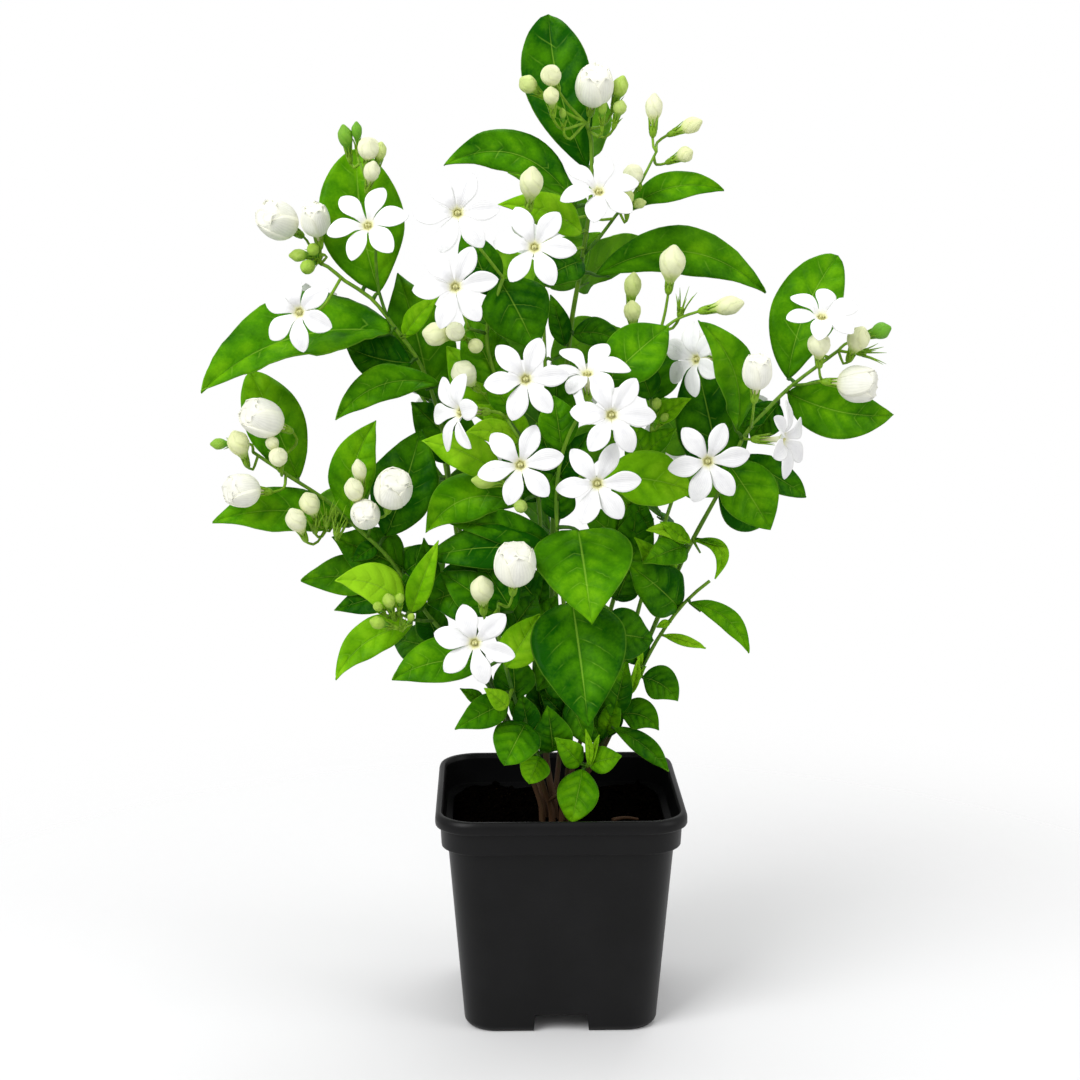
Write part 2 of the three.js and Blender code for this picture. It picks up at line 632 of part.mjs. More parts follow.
function pot() {
  const rim = POT.width / 2
  const collar = POT.collarWidth / 2
  const shoulder = POT.shoulderWidth / 2
  const foot = POT.footWidth / 2
  const collarTop = POT.height - POT.rim
  const collarFoot = collarTop - POT.collar
  const floorTop = POT.foot + POT.floor
  const shell = squareTurned(
    [
      [0, POT.foot],
      [foot - 5, POT.foot],
      [foot - 4, 0],
      [foot - 1.5, 0],
      [foot, 1.6],
      [shoulder, collarFoot],
      [collar - 0.4, collarFoot + 0.4],
      [collar, collarTop],
      [rim, collarTop + 0.4],
      [rim, POT.height - 1.4],
      [rim - 0.9, POT.height],
      [rim - 2.1, POT.height],
      [innerHalfWidth(collarTop) + 0.4, POT.height - 1.8],
      [innerHalfWidth(collarTop), collarTop],
      [innerHalfWidth(collarFoot), collarFoot],
      [innerHalfWidth(floorTop), floorTop],
      [0, floorTop],
    ].reverse(),
    CORNER_SHARE,
  )
  const span = POT.width
  const notch = (width, depth) => solid(new THREE.BoxGeometry(width, depth, 2 * POT.foot - 0.04))
  const drain = (x, y) => {
    const peg = new THREE.CylinderGeometry(POT.drain / 2, POT.drain / 2, 4 * POT.foot, 8)
    return solid(peg.rotateX(Math.PI / 2).translate(x, y, 0))
  }
  const corners = [-POT.drainSpread, POT.drainSpread].flatMap((x) => [drain(x, x), drain(x, -x)])
  return cut(solid(shell), [notch(POT.notch, span), notch(span, POT.notch), drain(0, 0), ...corners])
}

// Half the width of the pot's inside at a height
function innerHalfWidth(height) {
  const collarTop = POT.height - POT.rim
  const collarFoot = collarTop - POT.collar
  const share = THREE.MathUtils.clamp((height - POT.foot) / (collarFoot - POT.foot), 0, 1)
  const wall = THREE.MathUtils.lerp(POT.footWidth / 2, POT.shoulderWidth / 2, share) - POT.wall
  return height > collarFoot ? POT.collarWidth / 2 - POT.wall : wall
}

// Soil

function soil() {
  const bottom = POT.foot + POT.floor + SOIL.gap
  const top = SOIL.top
  const rows = 3
  const profile = [[0, bottom], [innerHalfWidth(bottom) - SOIL.gap, bottom]]
  for (let row = rows; row >= 0; row--) {
    profile.push([((innerHalfWidth(top - 3) - SOIL.gap) * row) / rows, top])
  }
  const block = reshape(squareTurned(profile.reverse(), CORNER_SHARE), (corner) => {
    const edge = Math.max(Math.abs(corner.x), Math.abs(corner.y)) > innerHalfWidth(top - 3) - 2
    const lumps = corner.z > top - 1 && !edge ? soilRelief(corner.x, corner.y) : 0
    return new THREE.Vector3(corner.x, corner.y, corner.z + lumps)
  })
  return cut(solid(block), stems.map(stemHole))
}

function soilRelief(x, y) {
  const coarse = Math.sin(x * 0.21 + 1.3) * Math.cos(y * 0.17 - 0.4)
  const fine = Math.sin(x * 0.83 + y * 0.41) * Math.sin(y * 0.91 - x * 0.37)
  return SOIL.relief * (0.6 * coarse + 0.4 * fine)
}

// A plain round hole for a stem
function stemHole({ root: [x, y], branches: [main] }) {
  const radius = main.rootRadius + SOIL.gap
  const depth = SOIL.rootDepth + SOIL.gap
  const peg = new THREE.CylinderGeometry(radius, radius, 2 * depth, 6).rotateX(Math.PI / 2)
  return solid(peg.translate(x, y, SOIL.top))
}

function twig() {
  const points = TWIG.places.map(([x, y, z]) => new THREE.Vector3(x, y, z))
  return solid(rod(points, [TWIG.radius, TWIG.radius, TWIG.radius * 0.6], 5))
}

// Leafy stems

// The main branch stands upright in the soil, and each other branch starts from it
function stemPaths({ root: [x, y], branches: [main, ...others] }) {
  const buried = new THREE.Vector3(x, y, SOIL.top - SOIL.rootDepth)
  const above = new THREE.Vector3(x, y, SOIL.top + 5)
  const trunk = [buried, above, ...main.places.map(place)]
  const twigs = others.map(({ places }) => {
    const [start, ...rest] = places.map(place)
    return [nearest(start, [trunk]), ...rest]
  })
  return [trunk, ...twigs]
}

// The point of some paths that lies nearest to a spot
function nearest(spot, paths) {
  const stretches = paths.flatMap((path) => path.slice(1).map((end, i) => new THREE.Line3(path[i], end)))
  const points = stretches.map((line) => line.closestPointToPoint(spot, true, new THREE.Vector3()))
  return points.reduce((best, one) => (one.distanceTo(spot) < best.distanceTo(spot) ? one : best))
}

// A leaf's stalk starts inside the stem, and its blade is bent along a curved midrib
function leafSolid(spec, paths) {
  const start = place(spec.base)
  const span = place(spec.tip).sub(start)
  const length = span.length()
  const along = span.normalize()
  const outward = new THREE.Vector3(0, spec.tip[2] > REAR ? 0.9 : -0.9, 0.42)
  const face = outward.addScaledVector(along, -outward.dot(along)).normalize()
  face.applyAxisAngle(along, THREE.MathUtils.degToRad(spec.turn))
  const side = new THREE.Vector3().crossVectors(along, face)
  const root = nearest(start, paths)
  const rise = Math.sin(THREE.MathUtils.degToRad(spec.fold))
  const stations = length > LEAF.long ? LEAF.stations : LEAF.fewStations
  const halves = spec.width > LEAF.wide ? 2 : 1
  const rows = stations.length

  const sheet = reshape(new THREE.PlaneGeometry(2, 1, halves, rows), ({ x: across, y }) => {
    const row = Math.round((0.5 - y) * rows)
    if (row === 0) return root.clone().addScaledVector(side, (across * LEAF.petiole) / 2)
    const s = stations[row - 1]
    const bend = 4 * s * (1 - s) * length
    const out = side.clone().addScaledVector(along, -4 * (1 - 2 * s) * spec.bow).normalize()
    const halfWidth = Math.max(leafHalfWidth(s, spec), LEAF.petiole / (row === rows ? 6 : 2))
    const lift = halves === 2 ? Math.abs(across) * halfWidth * rise : 0
    return start
      .clone()
      .addScaledVector(along, s * length)
      .addScaledVector(side, bend * spec.bow)
      .addScaledVector(face, bend * spec.arch + lift)
      .addScaledVector(out, across * halfWidth)
  })
  return solid(thickened(sheet, LEAF.thickness))
}

function leafHalfWidth(s, { width, widest }) {
  const sharpness = 1.5
  const rise = (s / widest) ** (sharpness * widest)
  const fall = ((1 - s) / (1 - widest)) ** (sharpness * (1 - widest))
  return (width / 2) * rise * fall
}

function lookDirection(compass, elevation) {
  const azimuth = THREE.MathUtils.degToRad(compass)
  const rise = THREE.MathUtils.degToRad(elevation)
  const level = Math.cos(rise)
  return new THREE.Vector3(Math.sin(azimuth) * level, -Math.cos(azimuth) * level, Math.sin(rise))
}

// Where a flower's tube ends, and where the calyx that holds it starts
function seat(flower) {
  const ahead = lookDirection(flower.compass, flower.elevation)
  const back = flower.throat ? BLOOM.tube : flower.length / 2 + flower.tube
  const middle = place(flower.throat ?? flower.centre)
  return { ahead, middle, back, end: middle.clone().addScaledVector(ahead, -back) }
}

// The calyx of a flower that is its own piece, drawn out into a stalk that reaches the stem. The
// rim of the calyx is drawn out into teeth that stand round the flower's tube.
function flowerStalk(flower, paths) {
  const { ahead, end } = seat(flower)
  const rim = end.addScaledVector(ahead, -CALYX.gap - CALYX.sink)
  const heel = rim.clone().addScaledVector(ahead, -CALYX.length)
  const teeth = (angle) => (Math.cos(CALYX.teeth * angle) > 0 ? [CALYX.spread, CALYX.tooth] : [1, 0])
  const radii = [CALYX.mouth, STALK, STALK]
  return solid(rod([rim, heel, nearest(heel, paths)], radii, 2 * CALYX.teeth, teeth))
}

// A small bud, drawn out into a stalk that reaches the stem
function smallBud(spec, paths) {
  const { ahead, middle } = seat(spec)
  const at = (share) => middle.clone().addScaledVector(ahead, (share * spec.length) / 2)
  const places = [at(1), at(0.3), at(-0.9), nearest(at(-1), paths)]
  return solid(rod(places, [spec.width / 7, spec.width / 2, STALK + 0.2, STALK], 4))
}

function leafyStem(stem) {
  const paths = stemPaths(stem)
  const rods = stem.branches.map(({ rootRadius, tipRadius }, i) => {
    const last = paths[i].length - 1
    const radii = paths[i].map((_, step) => THREE.MathUtils.lerp(rootRadius, tipRadius, step / last))
    return solid(rod(paths[i], radii, i ? 4 : 5))
  })
  const held = [...stem.open, ...stem.half, ...stem.free]
  return joined([
    ...rods,
    ...stem.leaves.map((one) => leafSolid(one, paths)),
    ...held.map((flower) => flowerStalk(flower, paths)),
    ...stem.buds.map((one) => smallBud(one, paths)),
  ])
}

// Flowers

// The outline of the joined petals, each with its two sides, its pointed tip and the notch to the
// next one
function petalOutline({ reach, spin }) {
  const { petals, petalWidth, widest, notch } = BLOOM
  const middle = new THREE.Vector2()
  const side = (petalWidth / 2) * reach
  const sides = [-side, side].map((across) => new THREE.Vector2(widest * reach, across))
  const tip = new THREE.Vector2(reach, 0)
  const gap = new THREE.Vector2(notch * reach, 0).rotateAround(middle, Math.PI / petals)
  const one = [sides[0], tip, sides[1], gap]
  return Array.from({ length: petals }, (_, i) => {
    const angle = THREE.MathUtils.degToRad(spin + (i * 360) / petals)
    return one.map((point) => point.clone().rotateAround(middle, angle))
  }).flat()
}

// An open flower: petals joined round a shallow throat, with the tube behind it
function openFlower(flower) {
  const { ahead, middle } = seat(flower)
  const { tube, tubeRadius } = BLOOM
  const star = reshape(new THREE.ShapeGeometry(new THREE.Shape(petalOutline(flower))), ({ x, y }) => {
    const out = Math.hypot(x, y) / flower.reach
    return new THREE.Vector3(x, y, BLOOM.lift * Math.sin(Math.PI * out) - BLOOM.sunk)
  })
  const neck = new THREE.CylinderGeometry(tubeRadius, tubeRadius * 0.8, tube, 4)
  neck.rotateX(Math.PI / 2).translate(0, 0, -tube / 2 + 0.1)
  const pose = axes(ahead).setPosition(middle)
  const corolla = thickened(star, BLOOM.thickness).applyMatrix4(pose)
  return solid(corolla).add(solid(neck.applyMatrix4(pose)))
}

// A flower that has not opened: lobes wrapped round each other, or one smooth bud, drawn out
// into a pointed tube behind
function closedFlower(flower) {
  const { ahead, middle, back } = seat(flower)
  const { width, length, lobes } = flower
  const ball = new THREE.SphereGeometry(1, lobes ? 2 * lobes : 5, 4).rotateX(Math.PI / 2)
  reshape(ball, ({ x, y, z }) => {
    const groove = lobes ? 1 - LOBE_GROOVE * (1 - Math.cos(lobes * Math.atan2(y, x))) : 1
    const radius = (width / 2) * groove * (1 + 0.12 * z)
    return new THREE.Vector3(x * radius, y * radius, z < -0.99 ? -back : (z * length) / 2)
  })
  return solid(ball.applyMatrix4(axes(ahead).setPosition(middle)))
}

// Finishes

const plastic = new THREE.MeshStandardMaterial({ color: '#17181a', roughness: 0.45 })
const peat = new THREE.MeshStandardMaterial({ color: '#15110e', roughness: 0.95 })
const bark = new THREE.MeshStandardMaterial({ color: '#6b4a30', roughness: 0.9 })
const foliage = new THREE.MeshStandardMaterial({ color: '#2f7a12', roughness: 0.5 })
const white = new THREE.MeshStandardMaterial({ color: '#f8f7f2', roughness: 0.55 })
const cream = new THREE.MeshStandardMaterial({ color: '#f0efcf', roughness: 0.55 })

// Assembly

const plant = new THREE.Group()
plant.add(mesh('pot', pot(), plastic), mesh('soil', soil(), peat), mesh('soil_twig', twig(), bark))
for (const stem of stems) {
  plant.add(mesh(stem.name, leafyStem(stem), foliage))
  for (const flower of stem.open) plant.add(mesh(flower.name, openFlower(flower), white))
  for (const flower of stem.half) plant.add(mesh(flower.name, closedFlower(flower), white))
  for (const flower of stem.free) plant.add(mesh(flower.name, closedFlower(flower), cream))
}

export default plant
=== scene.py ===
"""Potted Arabian jasmine: the finished leaves, flowers, peat and pot over the fixed frame.

Lengths are in millimetres while a piece is shaped, and its mesh is in metres once it is finished.
"""

import logging
import math
import random
from collections.abc import Callable, Sequence
from dataclasses import dataclass, field
from enum import Enum
from typing import Any

import bmesh
import bpy
from mathutils import Matrix, Vector, noise


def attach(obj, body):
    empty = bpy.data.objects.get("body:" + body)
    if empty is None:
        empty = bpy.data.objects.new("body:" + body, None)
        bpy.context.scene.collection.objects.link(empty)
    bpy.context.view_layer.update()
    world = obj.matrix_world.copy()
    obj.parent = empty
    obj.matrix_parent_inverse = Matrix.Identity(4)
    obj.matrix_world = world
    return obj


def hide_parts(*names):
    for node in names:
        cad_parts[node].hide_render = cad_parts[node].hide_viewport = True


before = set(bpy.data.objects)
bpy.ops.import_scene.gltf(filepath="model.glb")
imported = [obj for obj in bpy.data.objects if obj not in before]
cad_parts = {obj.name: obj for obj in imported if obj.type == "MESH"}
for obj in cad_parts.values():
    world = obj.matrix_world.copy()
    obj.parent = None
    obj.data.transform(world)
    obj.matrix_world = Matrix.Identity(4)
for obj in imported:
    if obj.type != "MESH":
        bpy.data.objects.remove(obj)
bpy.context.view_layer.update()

log = logging.getLogger("jasmine")

Spot = tuple[float, float, float]
Colour = tuple[float, float, float]
Values = dict[str, float]

MM = 0.001
SEED = 7

# A place is given as [across, height, depth] as it looks to an eye in front of the plant: the
# first two are read on the upright plane through the pot's axis, and depth is how far the place
# then lies behind that plane along the line of sight.
EYE = Vector((-24, -728, 306))

# Deeper than this the plant is seen from behind, and its leaves face that way
REAR = 14

SOIL_TOP = 70
ROOT_DEPTH = 12
STALK = 0.46

# A calyx stands behind its flower's end by a small gap and by how far the finished tube reaches
# on into it
TAIL = 1.2
WAIST = 0.35 + TAIL

# Rings this near to an axis become one corner
AXIS = 0.01


@dataclass(frozen=True)
class Outline:
    """A leaf outline: its widest place as a share of the length, and how full its ends are.

    The exponents are for the base and the tip: 0 is square, 1 is pointed.
    """

    widest: float
    base: float
    tip: float


HEART = Outline(0.34, 0.45, 1.0)
OVATE = Outline(0.38, 0.65, 1.0)
ELLIPTIC = Outline(0.5, 0.8, 0.95)
OBOVATE = Outline(0.62, 0.9, 0.6)
BLUNT = Outline(0.52, 0.8, 0.6)


class AgeAndShade(Enum):
    """The middle of a leaf's green: mostly how old the leaf is, but some leaves that face the
    lights were given a deeper green as painted shade.
    """

    DEEP = 0.1
    DARK = 0.23
    FULL = 0.36
    FRESH = 0.66
    YOUNG = 0.9


DEEP, DARK, FULL, FRESH, YOUNG = AgeAndShade


@dataclass
class Branch:
    """A branch, from its radius at the root end to its radius at the tip."""

    root_radius: float
    tip_radius: float
    places: list[Spot]


@dataclass
class Leaf:
    """A leaf blade, from the end of its stalk to its tip.

    Arch and bow are how far the midrib bends out of the blade's plane and in it, as shares of
    the length. Turn, about the midrib, and fold, by which each half rises, are in degrees.
    """

    base: Spot
    tip: Spot
    width: float
    age: AgeAndShade = DEEP
    outline: Outline = OVATE
    arch: float = 0.06
    turn: float = 0
    bow: float = 0
    fold: float = 12


@dataclass
class Bloom:
    """An open flower that looks along a compass angle, 0 to the front and 90 to the right."""

    name: str
    centre: Spot
    compass: float
    elevation: float
    spin: float
    reach: float = 14.4
    back: float = 9


@dataclass
class Bud:
    """A flower that has not opened, with its width and its length without the tube.

    Green is how unripe it is, from 0 for white to 1.
    """

    centre: Spot
    compass: float
    elevation: float
    width: float
    length: float
    green: float = 0.14
    name: str = ""
    tube: float = 1

    @property
    def back(self) -> float:
        """How far the end of the tube lies behind the middle."""
        return self.length / 2 + self.tube


@dataclass
class Stem:
    """A leafy stem: its place in the soil, its branches and what they carry.

    The small leaves and the bare calyxes are details that the frame's solids leave out.
    """

    name: str
    root: tuple[float, float]
    branches: list[Branch]
    leaves: list[Leaf]
    small: list[Leaf] = field(default_factory=list)
    open: list[Bloom] = field(default_factory=list)
    half: list[Bud] = field(default_factory=list)
    free: list[Bud] = field(default_factory=list)
    buds: list[Bud] = field(default_factory=list)
    bare: list[Bud] = field(default_factory=list)


# The plant, stem by stem. Each branch is a list of places from the root end to the tip.
PLANT = [
    Stem("stem_crown", (-1.6, -3.2), branches=[
        Branch(1.6, 0.9, [
            (-4, 88, 1), (-5, 107, 4), (-3, 145, 8), (-2, 186, 8), (1, 218, 5), (4, 251, 0),
            (8, 275, -6), (11, 298, -8), (11, 317, -8), (9, 323, -13)]),
        Branch(0.9, 0.6, [
            (9, 277, -6), (14, 283, -9), (20, 291, -12), (26, 298, -14), (31, 307, -16),
            (34, 313, -16)]),
    ], leaves=[
        Leaf((10, 307, -3), (-4, 360, 6), 24, DEEP, OBOVATE, 0.03, -8, -0.05),
        Leaf((6, 294, -11), (-40, 309, -24), 18, DARK, ELLIPTIC, 0.06, 10, 0.22),
        Leaf((24, 293, -10), (58, 300, -12), 11, DARK, ELLIPTIC, 0.05, 0, -0.12),
        Leaf((13, 270, -4), (74, 264, 6), 18, DARK, ELLIPTIC, 0.06, 5, -0.17),
        Leaf((8, 285, -10), (-21, 295, -26), 14, FRESH, OVATE, 0.08, 0, 0.05),
        Leaf((8, 275, -8), (-10, 266, -22), 14, DEEP, OVATE, 0.1),
        Leaf((5, 249, -2), (23, 245, -10), 11, DEEP, OVATE, 0.08, 0, -0.1),
        Leaf((11, 311, 0), (4, 344, 34), 19, FULL, ELLIPTIC, 0.1),
        Leaf((10, 284, -2), (-17, 306, 40), 18, FULL, OVATE, 0.1),
        Leaf((7, 266, 2), (37, 281, 40), 20, FULL, OVATE, 0.1),
    ], small=[
        Leaf((-1, 216, 4), (-1, 236, -4), 14),
        Leaf((2, 245, 0), (-3, 263, -2), 8),
        Leaf((-2, 186, 6), (2, 210, 0), 15),
        Leaf((-3, 137, 8), (6, 152, 6), 14),
    ], open=[
        Bloom("flower_crown_left", (-9, 280, -46), -5, 12, -4),
        Bloom("flower_crown_right", (14, 300, -30), 5, 35, 15),
    ], half=[
        Bud((12, 335, -16), 8, 50, 13, 14, name="half_open_crown"),
    ], free=[
        Bud((-10, 302, -34), 10, 62, 8, 11, name="bud_crown_left"),
        Bud((33, 328, -16), 5, 78, 6, 9, name="bud_crown_right"),
    ], buds=[
        Bud((46, 322, -16), 60, 20, 5.5, 8, 0.2),
        Bud((44, 312, -15), 50, 20, 5.5, 6, 0.24),
        Bud((26, 305, -20), -20, 30, 7, 8),
        Bud((-3, 339, -24), -20, 30, 7, 8),
        Bud((-11, 336, -22), -50, 30, 6, 7, 0.4),
        Bud((21, 335, -14), 30, 60, 5.5, 8, 0.52),
        Bud((-3, 332, -26), -10, 55, 5.4, 6.5, 0.2),
        Bud((21, 328, -16), 30, 60, 4.8, 5.2, 0.52),
        Bud((15, 328, -16), 0, 70, 3.2, 6, 0.7),
        Bud((1, 326, -20), -10, 60, 2.4, 4, 0.7),
        Bud((24, 297, -20), 0, 60, 4.4, 6.5, 0.4),
        Bud((28, 295, -20), 60, 10, 3.6, 5, 0.4),
    ]),
    Stem("stem_left", (-6.6, -3.6), branches=[
        Branch(1.2, 0.8, [
            (-10, 101, 7), (-22, 137, 7), (-37, 182, 1), (-42, 215, -8), (-49, 237, -15),
            (-59, 252, -18), (-67, 262, -19), (-76, 268, -20), (-82, 273, -20), (-89, 276, -17)]),
        Branch(0.8, 0.6, [
            (-60, 255, -18), (-64, 264, -20), (-65, 275, -24), (-65, 288, -26), (-67, 299, -28),
            (-70, 309, -29)]),
    ], leaves=[
        Leaf((-64, 264, -13), (-71, 314, -14), 29.5, FULL, BLUNT, 0.04, 5, -0.05),
        Leaf((-60, 250, -19), (-128, 229, -40), 32.5, DARK, OVATE, 0.04, 26, 0.13, 28),
        Leaf((-55, 249, -20), (-43, 263, -27), 8, FRESH, OVATE, 0.1),
        Leaf((-46, 226, -6), (-57, 271, 2), 25, FULL, OVATE, 0.08, 10),
        Leaf((-53, 239, -17), (-76, 245, -16), 18, DEEP, OVATE, 0.05, 0, -0.08),
        Leaf((-43, 231, -20), (-80, 219, -34), 13, FULL, ELLIPTIC, 0.06, 0, 0.15),
        Leaf((-69, 266, -14), (-73, 289, 14), 15, DEEP, OVATE, 0.1),
    ], small=[
        Leaf((-55, 248, -19), (-50, 259, -24), 5, FRESH, OVATE, 0.08),
    ], open=[
        Bloom("flower_left_top", (-68, 288, -45), -12, 28, 15),
        Bloom("flower_left_edge", (-93, 257, -50), -18, 5, 40, 13.2),
    ], half=[
        Bud((-99, 289, -24), -41, 26, 13, 14.5, name="half_open_left_edge"),
        Bud((-86, 289, -26), -10, 60, 10, 11.5, name="half_open_left_top"),
    ], buds=[
        Bud((-67, 314, -36), 10, 40, 7.5, 8),
        Bud((-66, 306, -36), 20, 50, 5.5, 8),
        Bud((-75, 318, -30), -20, 65, 5, 8, 0.9),
        Bud((-89, 273, -24), -30, -20, 5, 6, 0.62),
        Bud((-71, 320, -31), 0, 70, 3.6, 6, 0.9),
        Bud((-63, 313, -35), 20, 60, 4.4, 6.5, 0.45),
        Bud((-92, 277, -22), -70, 0, 4.4, 6.5, 0.6),
        Bud((-87, 279, -24), -20, 40, 4.2, 5, 0.6),
    ]),
    Stem("stem_centre", (-2.6, -7.2), branches=[
        Branch(1.2, 0.8, [
            (-7, 84, -7), (-9, 115, -9), (-8, 152, -12), (-7, 184, -17), (-12, 209, -22),
            (-21, 229, -26), (-26, 249, -29), (-20, 269, -28)]),
        Branch(0.8, 0.6, [
            (-25, 249, -29), (-32, 251, -31), (-37, 248, -33)]),
        Branch(0.8, 0.6, [
            (-13, 211, -23), (-18, 218, -34), (-19, 219, -42), (-14, 211, -47)]),
    ], leaves=[
        Leaf((-21, 268, -24), (-8, 243, -32), 24, DEEP, OVATE, 0.1),
        Leaf((-24, 263, -22), (-34, 287, -16), 15),
        Leaf((-20, 197, -30), (-49, 211, -38), 14, FRESH, ELLIPTIC, 0.06, 0, 0.06),
        Leaf((-19, 215, -19), (-40, 245, -12), 17, FRESH, ELLIPTIC),
        Leaf((-14, 188, -24), (-48, 178, -40), 19, FULL, ELLIPTIC, 0.06, 10, 0.18),
        Leaf((-32, 204, 4), (-53, 225, 8), 21, DEEP, OVATE, 0.05),
    ], small=[
        Leaf((-8, 148, -11), (-5, 163, -14), 7),
        Leaf((-22, 231, -26), (-33, 255, -22), 18, FULL, OVATE, 0.08),
        Leaf((-8, 152, -12), (-22, 155, -14), 12, DEEP, OVATE, 0.08),
        Leaf((-8, 152, -12), (-19, 165, -16), 14, DEEP, OVATE, 0.08),
        Leaf((-8, 137, -11), (-1, 154, -14), 13, DEEP, OVATE, 0.08),
        Leaf((-7, 189, -16), (-20, 210, -14), 17),
        Leaf((-12, 209, -22), (-29, 224, -26), 14, FRESH, OVATE, 0.08),
        Leaf((-15, 210, -26), (-33, 214, -32), 9, YOUNG, ELLIPTIC, 0.08, 0, 0.1),
        Leaf((-17, 221, -26), (-26, 234, -24), 10, FULL, OVATE, 0.08),
    ], open=[
        Bloom("flower_centre_top", (-36, 292, -46), 0, 10, 7),
        Bloom("flower_centre_left", (-37, 266, -54), 0, 8, 7),
        Bloom("flower_centre", (-12, 233, -66), 0, 8, 9),
        Bloom("flower_centre_side", (-37, 221, -52), -57, 2, 10),
        Bloom("flower_centre_low", (-14, 202, -66), 0, 10, 11),
    ], free=[
        Bud((-34, 235, -34), -40, 40, 8.5, 10, name="bud_centre"),
    ], buds=[
        Bud((-44, 249, -38), -60, 10, 8, 9),
        Bud((-37, 250, -40), -20, 20, 6.5, 7),
        Bud((-30, 245, -38), 20, -10, 5, 6, 0.3),
        Bud((-27, 196, -46), -60, 10, 5, 9, 0.55),
        Bud((-14, 187, -44), 20, -10, 4.5, 6, 0.55),
    ]),
    Stem("stem_front", (0.6, -10.8), branches=[
        Branch(1.2, 0.8, [
            (3, 84, -13), (5, 115, -20), (2, 148, -27), (-1, 186, -36), (2, 209, -40),
            (12, 228, -42)]),
        Branch(0.8, 0.6, [
            (0, 189, -37), (6, 196, -44), (10, 200, -48)]),
    ], leaves=[
        Leaf((7, 178, -38), (12, 144, -66), 34, FULL, HEART, 0.06, 0, 0, 14),
        Leaf((5, 151, -36), (11, 105, -60), 33, DEEP, HEART),
        Leaf((-1, 169, -30), (-49, 168, -34), 16, DEEP, ELLIPTIC, 0.08, 0, 0.05),
        Leaf((15, 230, -40), (39, 252, -32), 20, FULL, ELLIPTIC, 0.1),
        Leaf((15, 197, -40), (49, 192, -38), 20, FRESH, ELLIPTIC, 0.08, 0, -0.04),
        Leaf((14, 140, -28), (35, 137, -20), 19, DEEP, OVATE, 0.08),
    ], small=[
        Leaf((-1, 199, -34), (-8, 217, -37), 12),
        Leaf((0, 182, -30), (-1, 199, -34), 12),
        Leaf((4, 106, -16), (-7, 118, -20), 9, DEEP, OVATE, 0.08),
        Leaf((-1, 172, -28), (-40, 181, -33), 12, DEEP, ELLIPTIC, 0.06, 0, 0.05),
        Leaf((4, 115, -18), (-6, 133, -22), 13, DEEP, OVATE, 0.08),
        Leaf((4, 115, -20), (11, 97, -22), 11, DEEP, OVATE, 0.08),
        Leaf((3, 137, -24), (-8, 118, -26), 13, DEEP, OVATE, 0.08),
        Leaf((1, 207, -38), (-2, 227, -34), 14, FULL, ELLIPTIC, 0.08),
        Leaf((-1, 196, -32), (11, 214, -36), 12, DEEP, OVATE, 0.08),
    ], open=[
        Bloom("flower_front_top", (10, 236, -53), -5, 56, 6),
        Bloom("flower_front_right", (19, 220, -67), 5, 8, -3),
        Bloom("flower_front_low", (14, 195, -64), 4, 6, 7),
    ]),
    Stem("stem_left_low", (-6.4, -7.8), branches=[
        Branch(1.2, 0.8, [
            (-14, 95, -7), (-21, 112, -10), (-32, 129, -14), (-48, 147, -17), (-61, 167, -21),
            (-74, 180, -24), (-85, 190, -25), (-97, 198, -25), (-110, 207, -24)]),
        Branch(0.8, 0.6, [
            (-70, 175, -23), (-68, 182, -28), (-70, 189, -32)]),
        Branch(0.8, 0.6, [
            (-46, 145, -16), (-53, 145, -26), (-59, 148, -34)]),
    ], leaves=[
        Leaf((-94, 197, -18), (-110, 236, -13), 21, FULL, BLUNT, 0.05, 8),
        Leaf((-76, 180, -23), (-125, 182, -36), 18, FULL, ELLIPTIC, 0.05, 12, 0.08),
        Leaf((-75, 182, -27), (-66, 218, -34), 16, FULL, ELLIPTIC, 0.05, 0, -0.09),
        Leaf((-63, 176, -18), (-50, 215, -14), 25, DEEP, ELLIPTIC, 0.05, -10, 0.04),
        Leaf((-56, 164, -16), (-82, 176, -20), 20, DARK),
        Leaf((-57, 160, -16), (-94, 160, -12), 15, FULL, ELLIPTIC, 0.06, 0, 0.03),
        Leaf((-56, 156, -16), (-82, 149, -18), 12),
        Leaf((-57, 151, -32), (-81, 160, -42), 16, YOUNG, OVATE, 0.06, 10, 0.1),
        Leaf((-54, 148, -30), (-44, 174, -38), 9, FRESH),
        Leaf((-54, 143, -28), (-82, 123, -38), 14, FRESH, OVATE, 0.06, 10, 0.12),
        Leaf((-38, 132, -8), (-61, 138, 14), 17, DEEP, OVATE, 0.08),
    ], small=[
        Leaf((-47, 156, -20), (-49, 175, -26), 9),
        Leaf((-51, 148, -18), (-59, 163, -20), 12, DEEP, OVATE, 0.08),
        Leaf((-44, 137, -12), (-51, 153, -14), 12, DEEP, OVATE, 0.08),
        Leaf((-66, 173, -20), (-75, 167, -24), 7, DEEP, OVATE, 0.08),
        Leaf((-56, 163, -18), (-42, 172, -26), 12, DEEP, OVATE, 0.08),
    ], half=[
        Bud((-114, 193, -39), -52, 8, 11.5, 12.5, name="half_open_low_edge"),
        Bud((-106, 219, -36), -50, 25, 13, 15, name="half_open_left_low"),
        Bud((-60, 193, -44), 18, 48, 13, 14, name="half_open_left_large"),
        Bud((-70, 184, -42), -5, 30, 10, 11, name="half_open_left_small"),
    ], buds=[
        Bud((-90, 188, -36), -25, 55, 7, 9),
        Bud((-95, 182, -38), -30, 55, 7, 9.5),
        Bud((-72, 200, -40), -20, 70, 5, 8),
        Bud((-74, 193, -44), -20, 60, 6.5, 9),
        Bud((-115, 210, -32), -30, 60, 7.5, 9.5, 0.26),
        Bud((-62, 152, -40), -20, 60, 4.5, 6, 0.62),
        Bud((-66, 144, -42), -60, 20, 4.5, 6, 0.62),
        Bud((-103, 210, -36), -20, 55, 4.6, 5.5),
        Bud((-101, 205, -39), 0, 40, 6.4, 7.4),
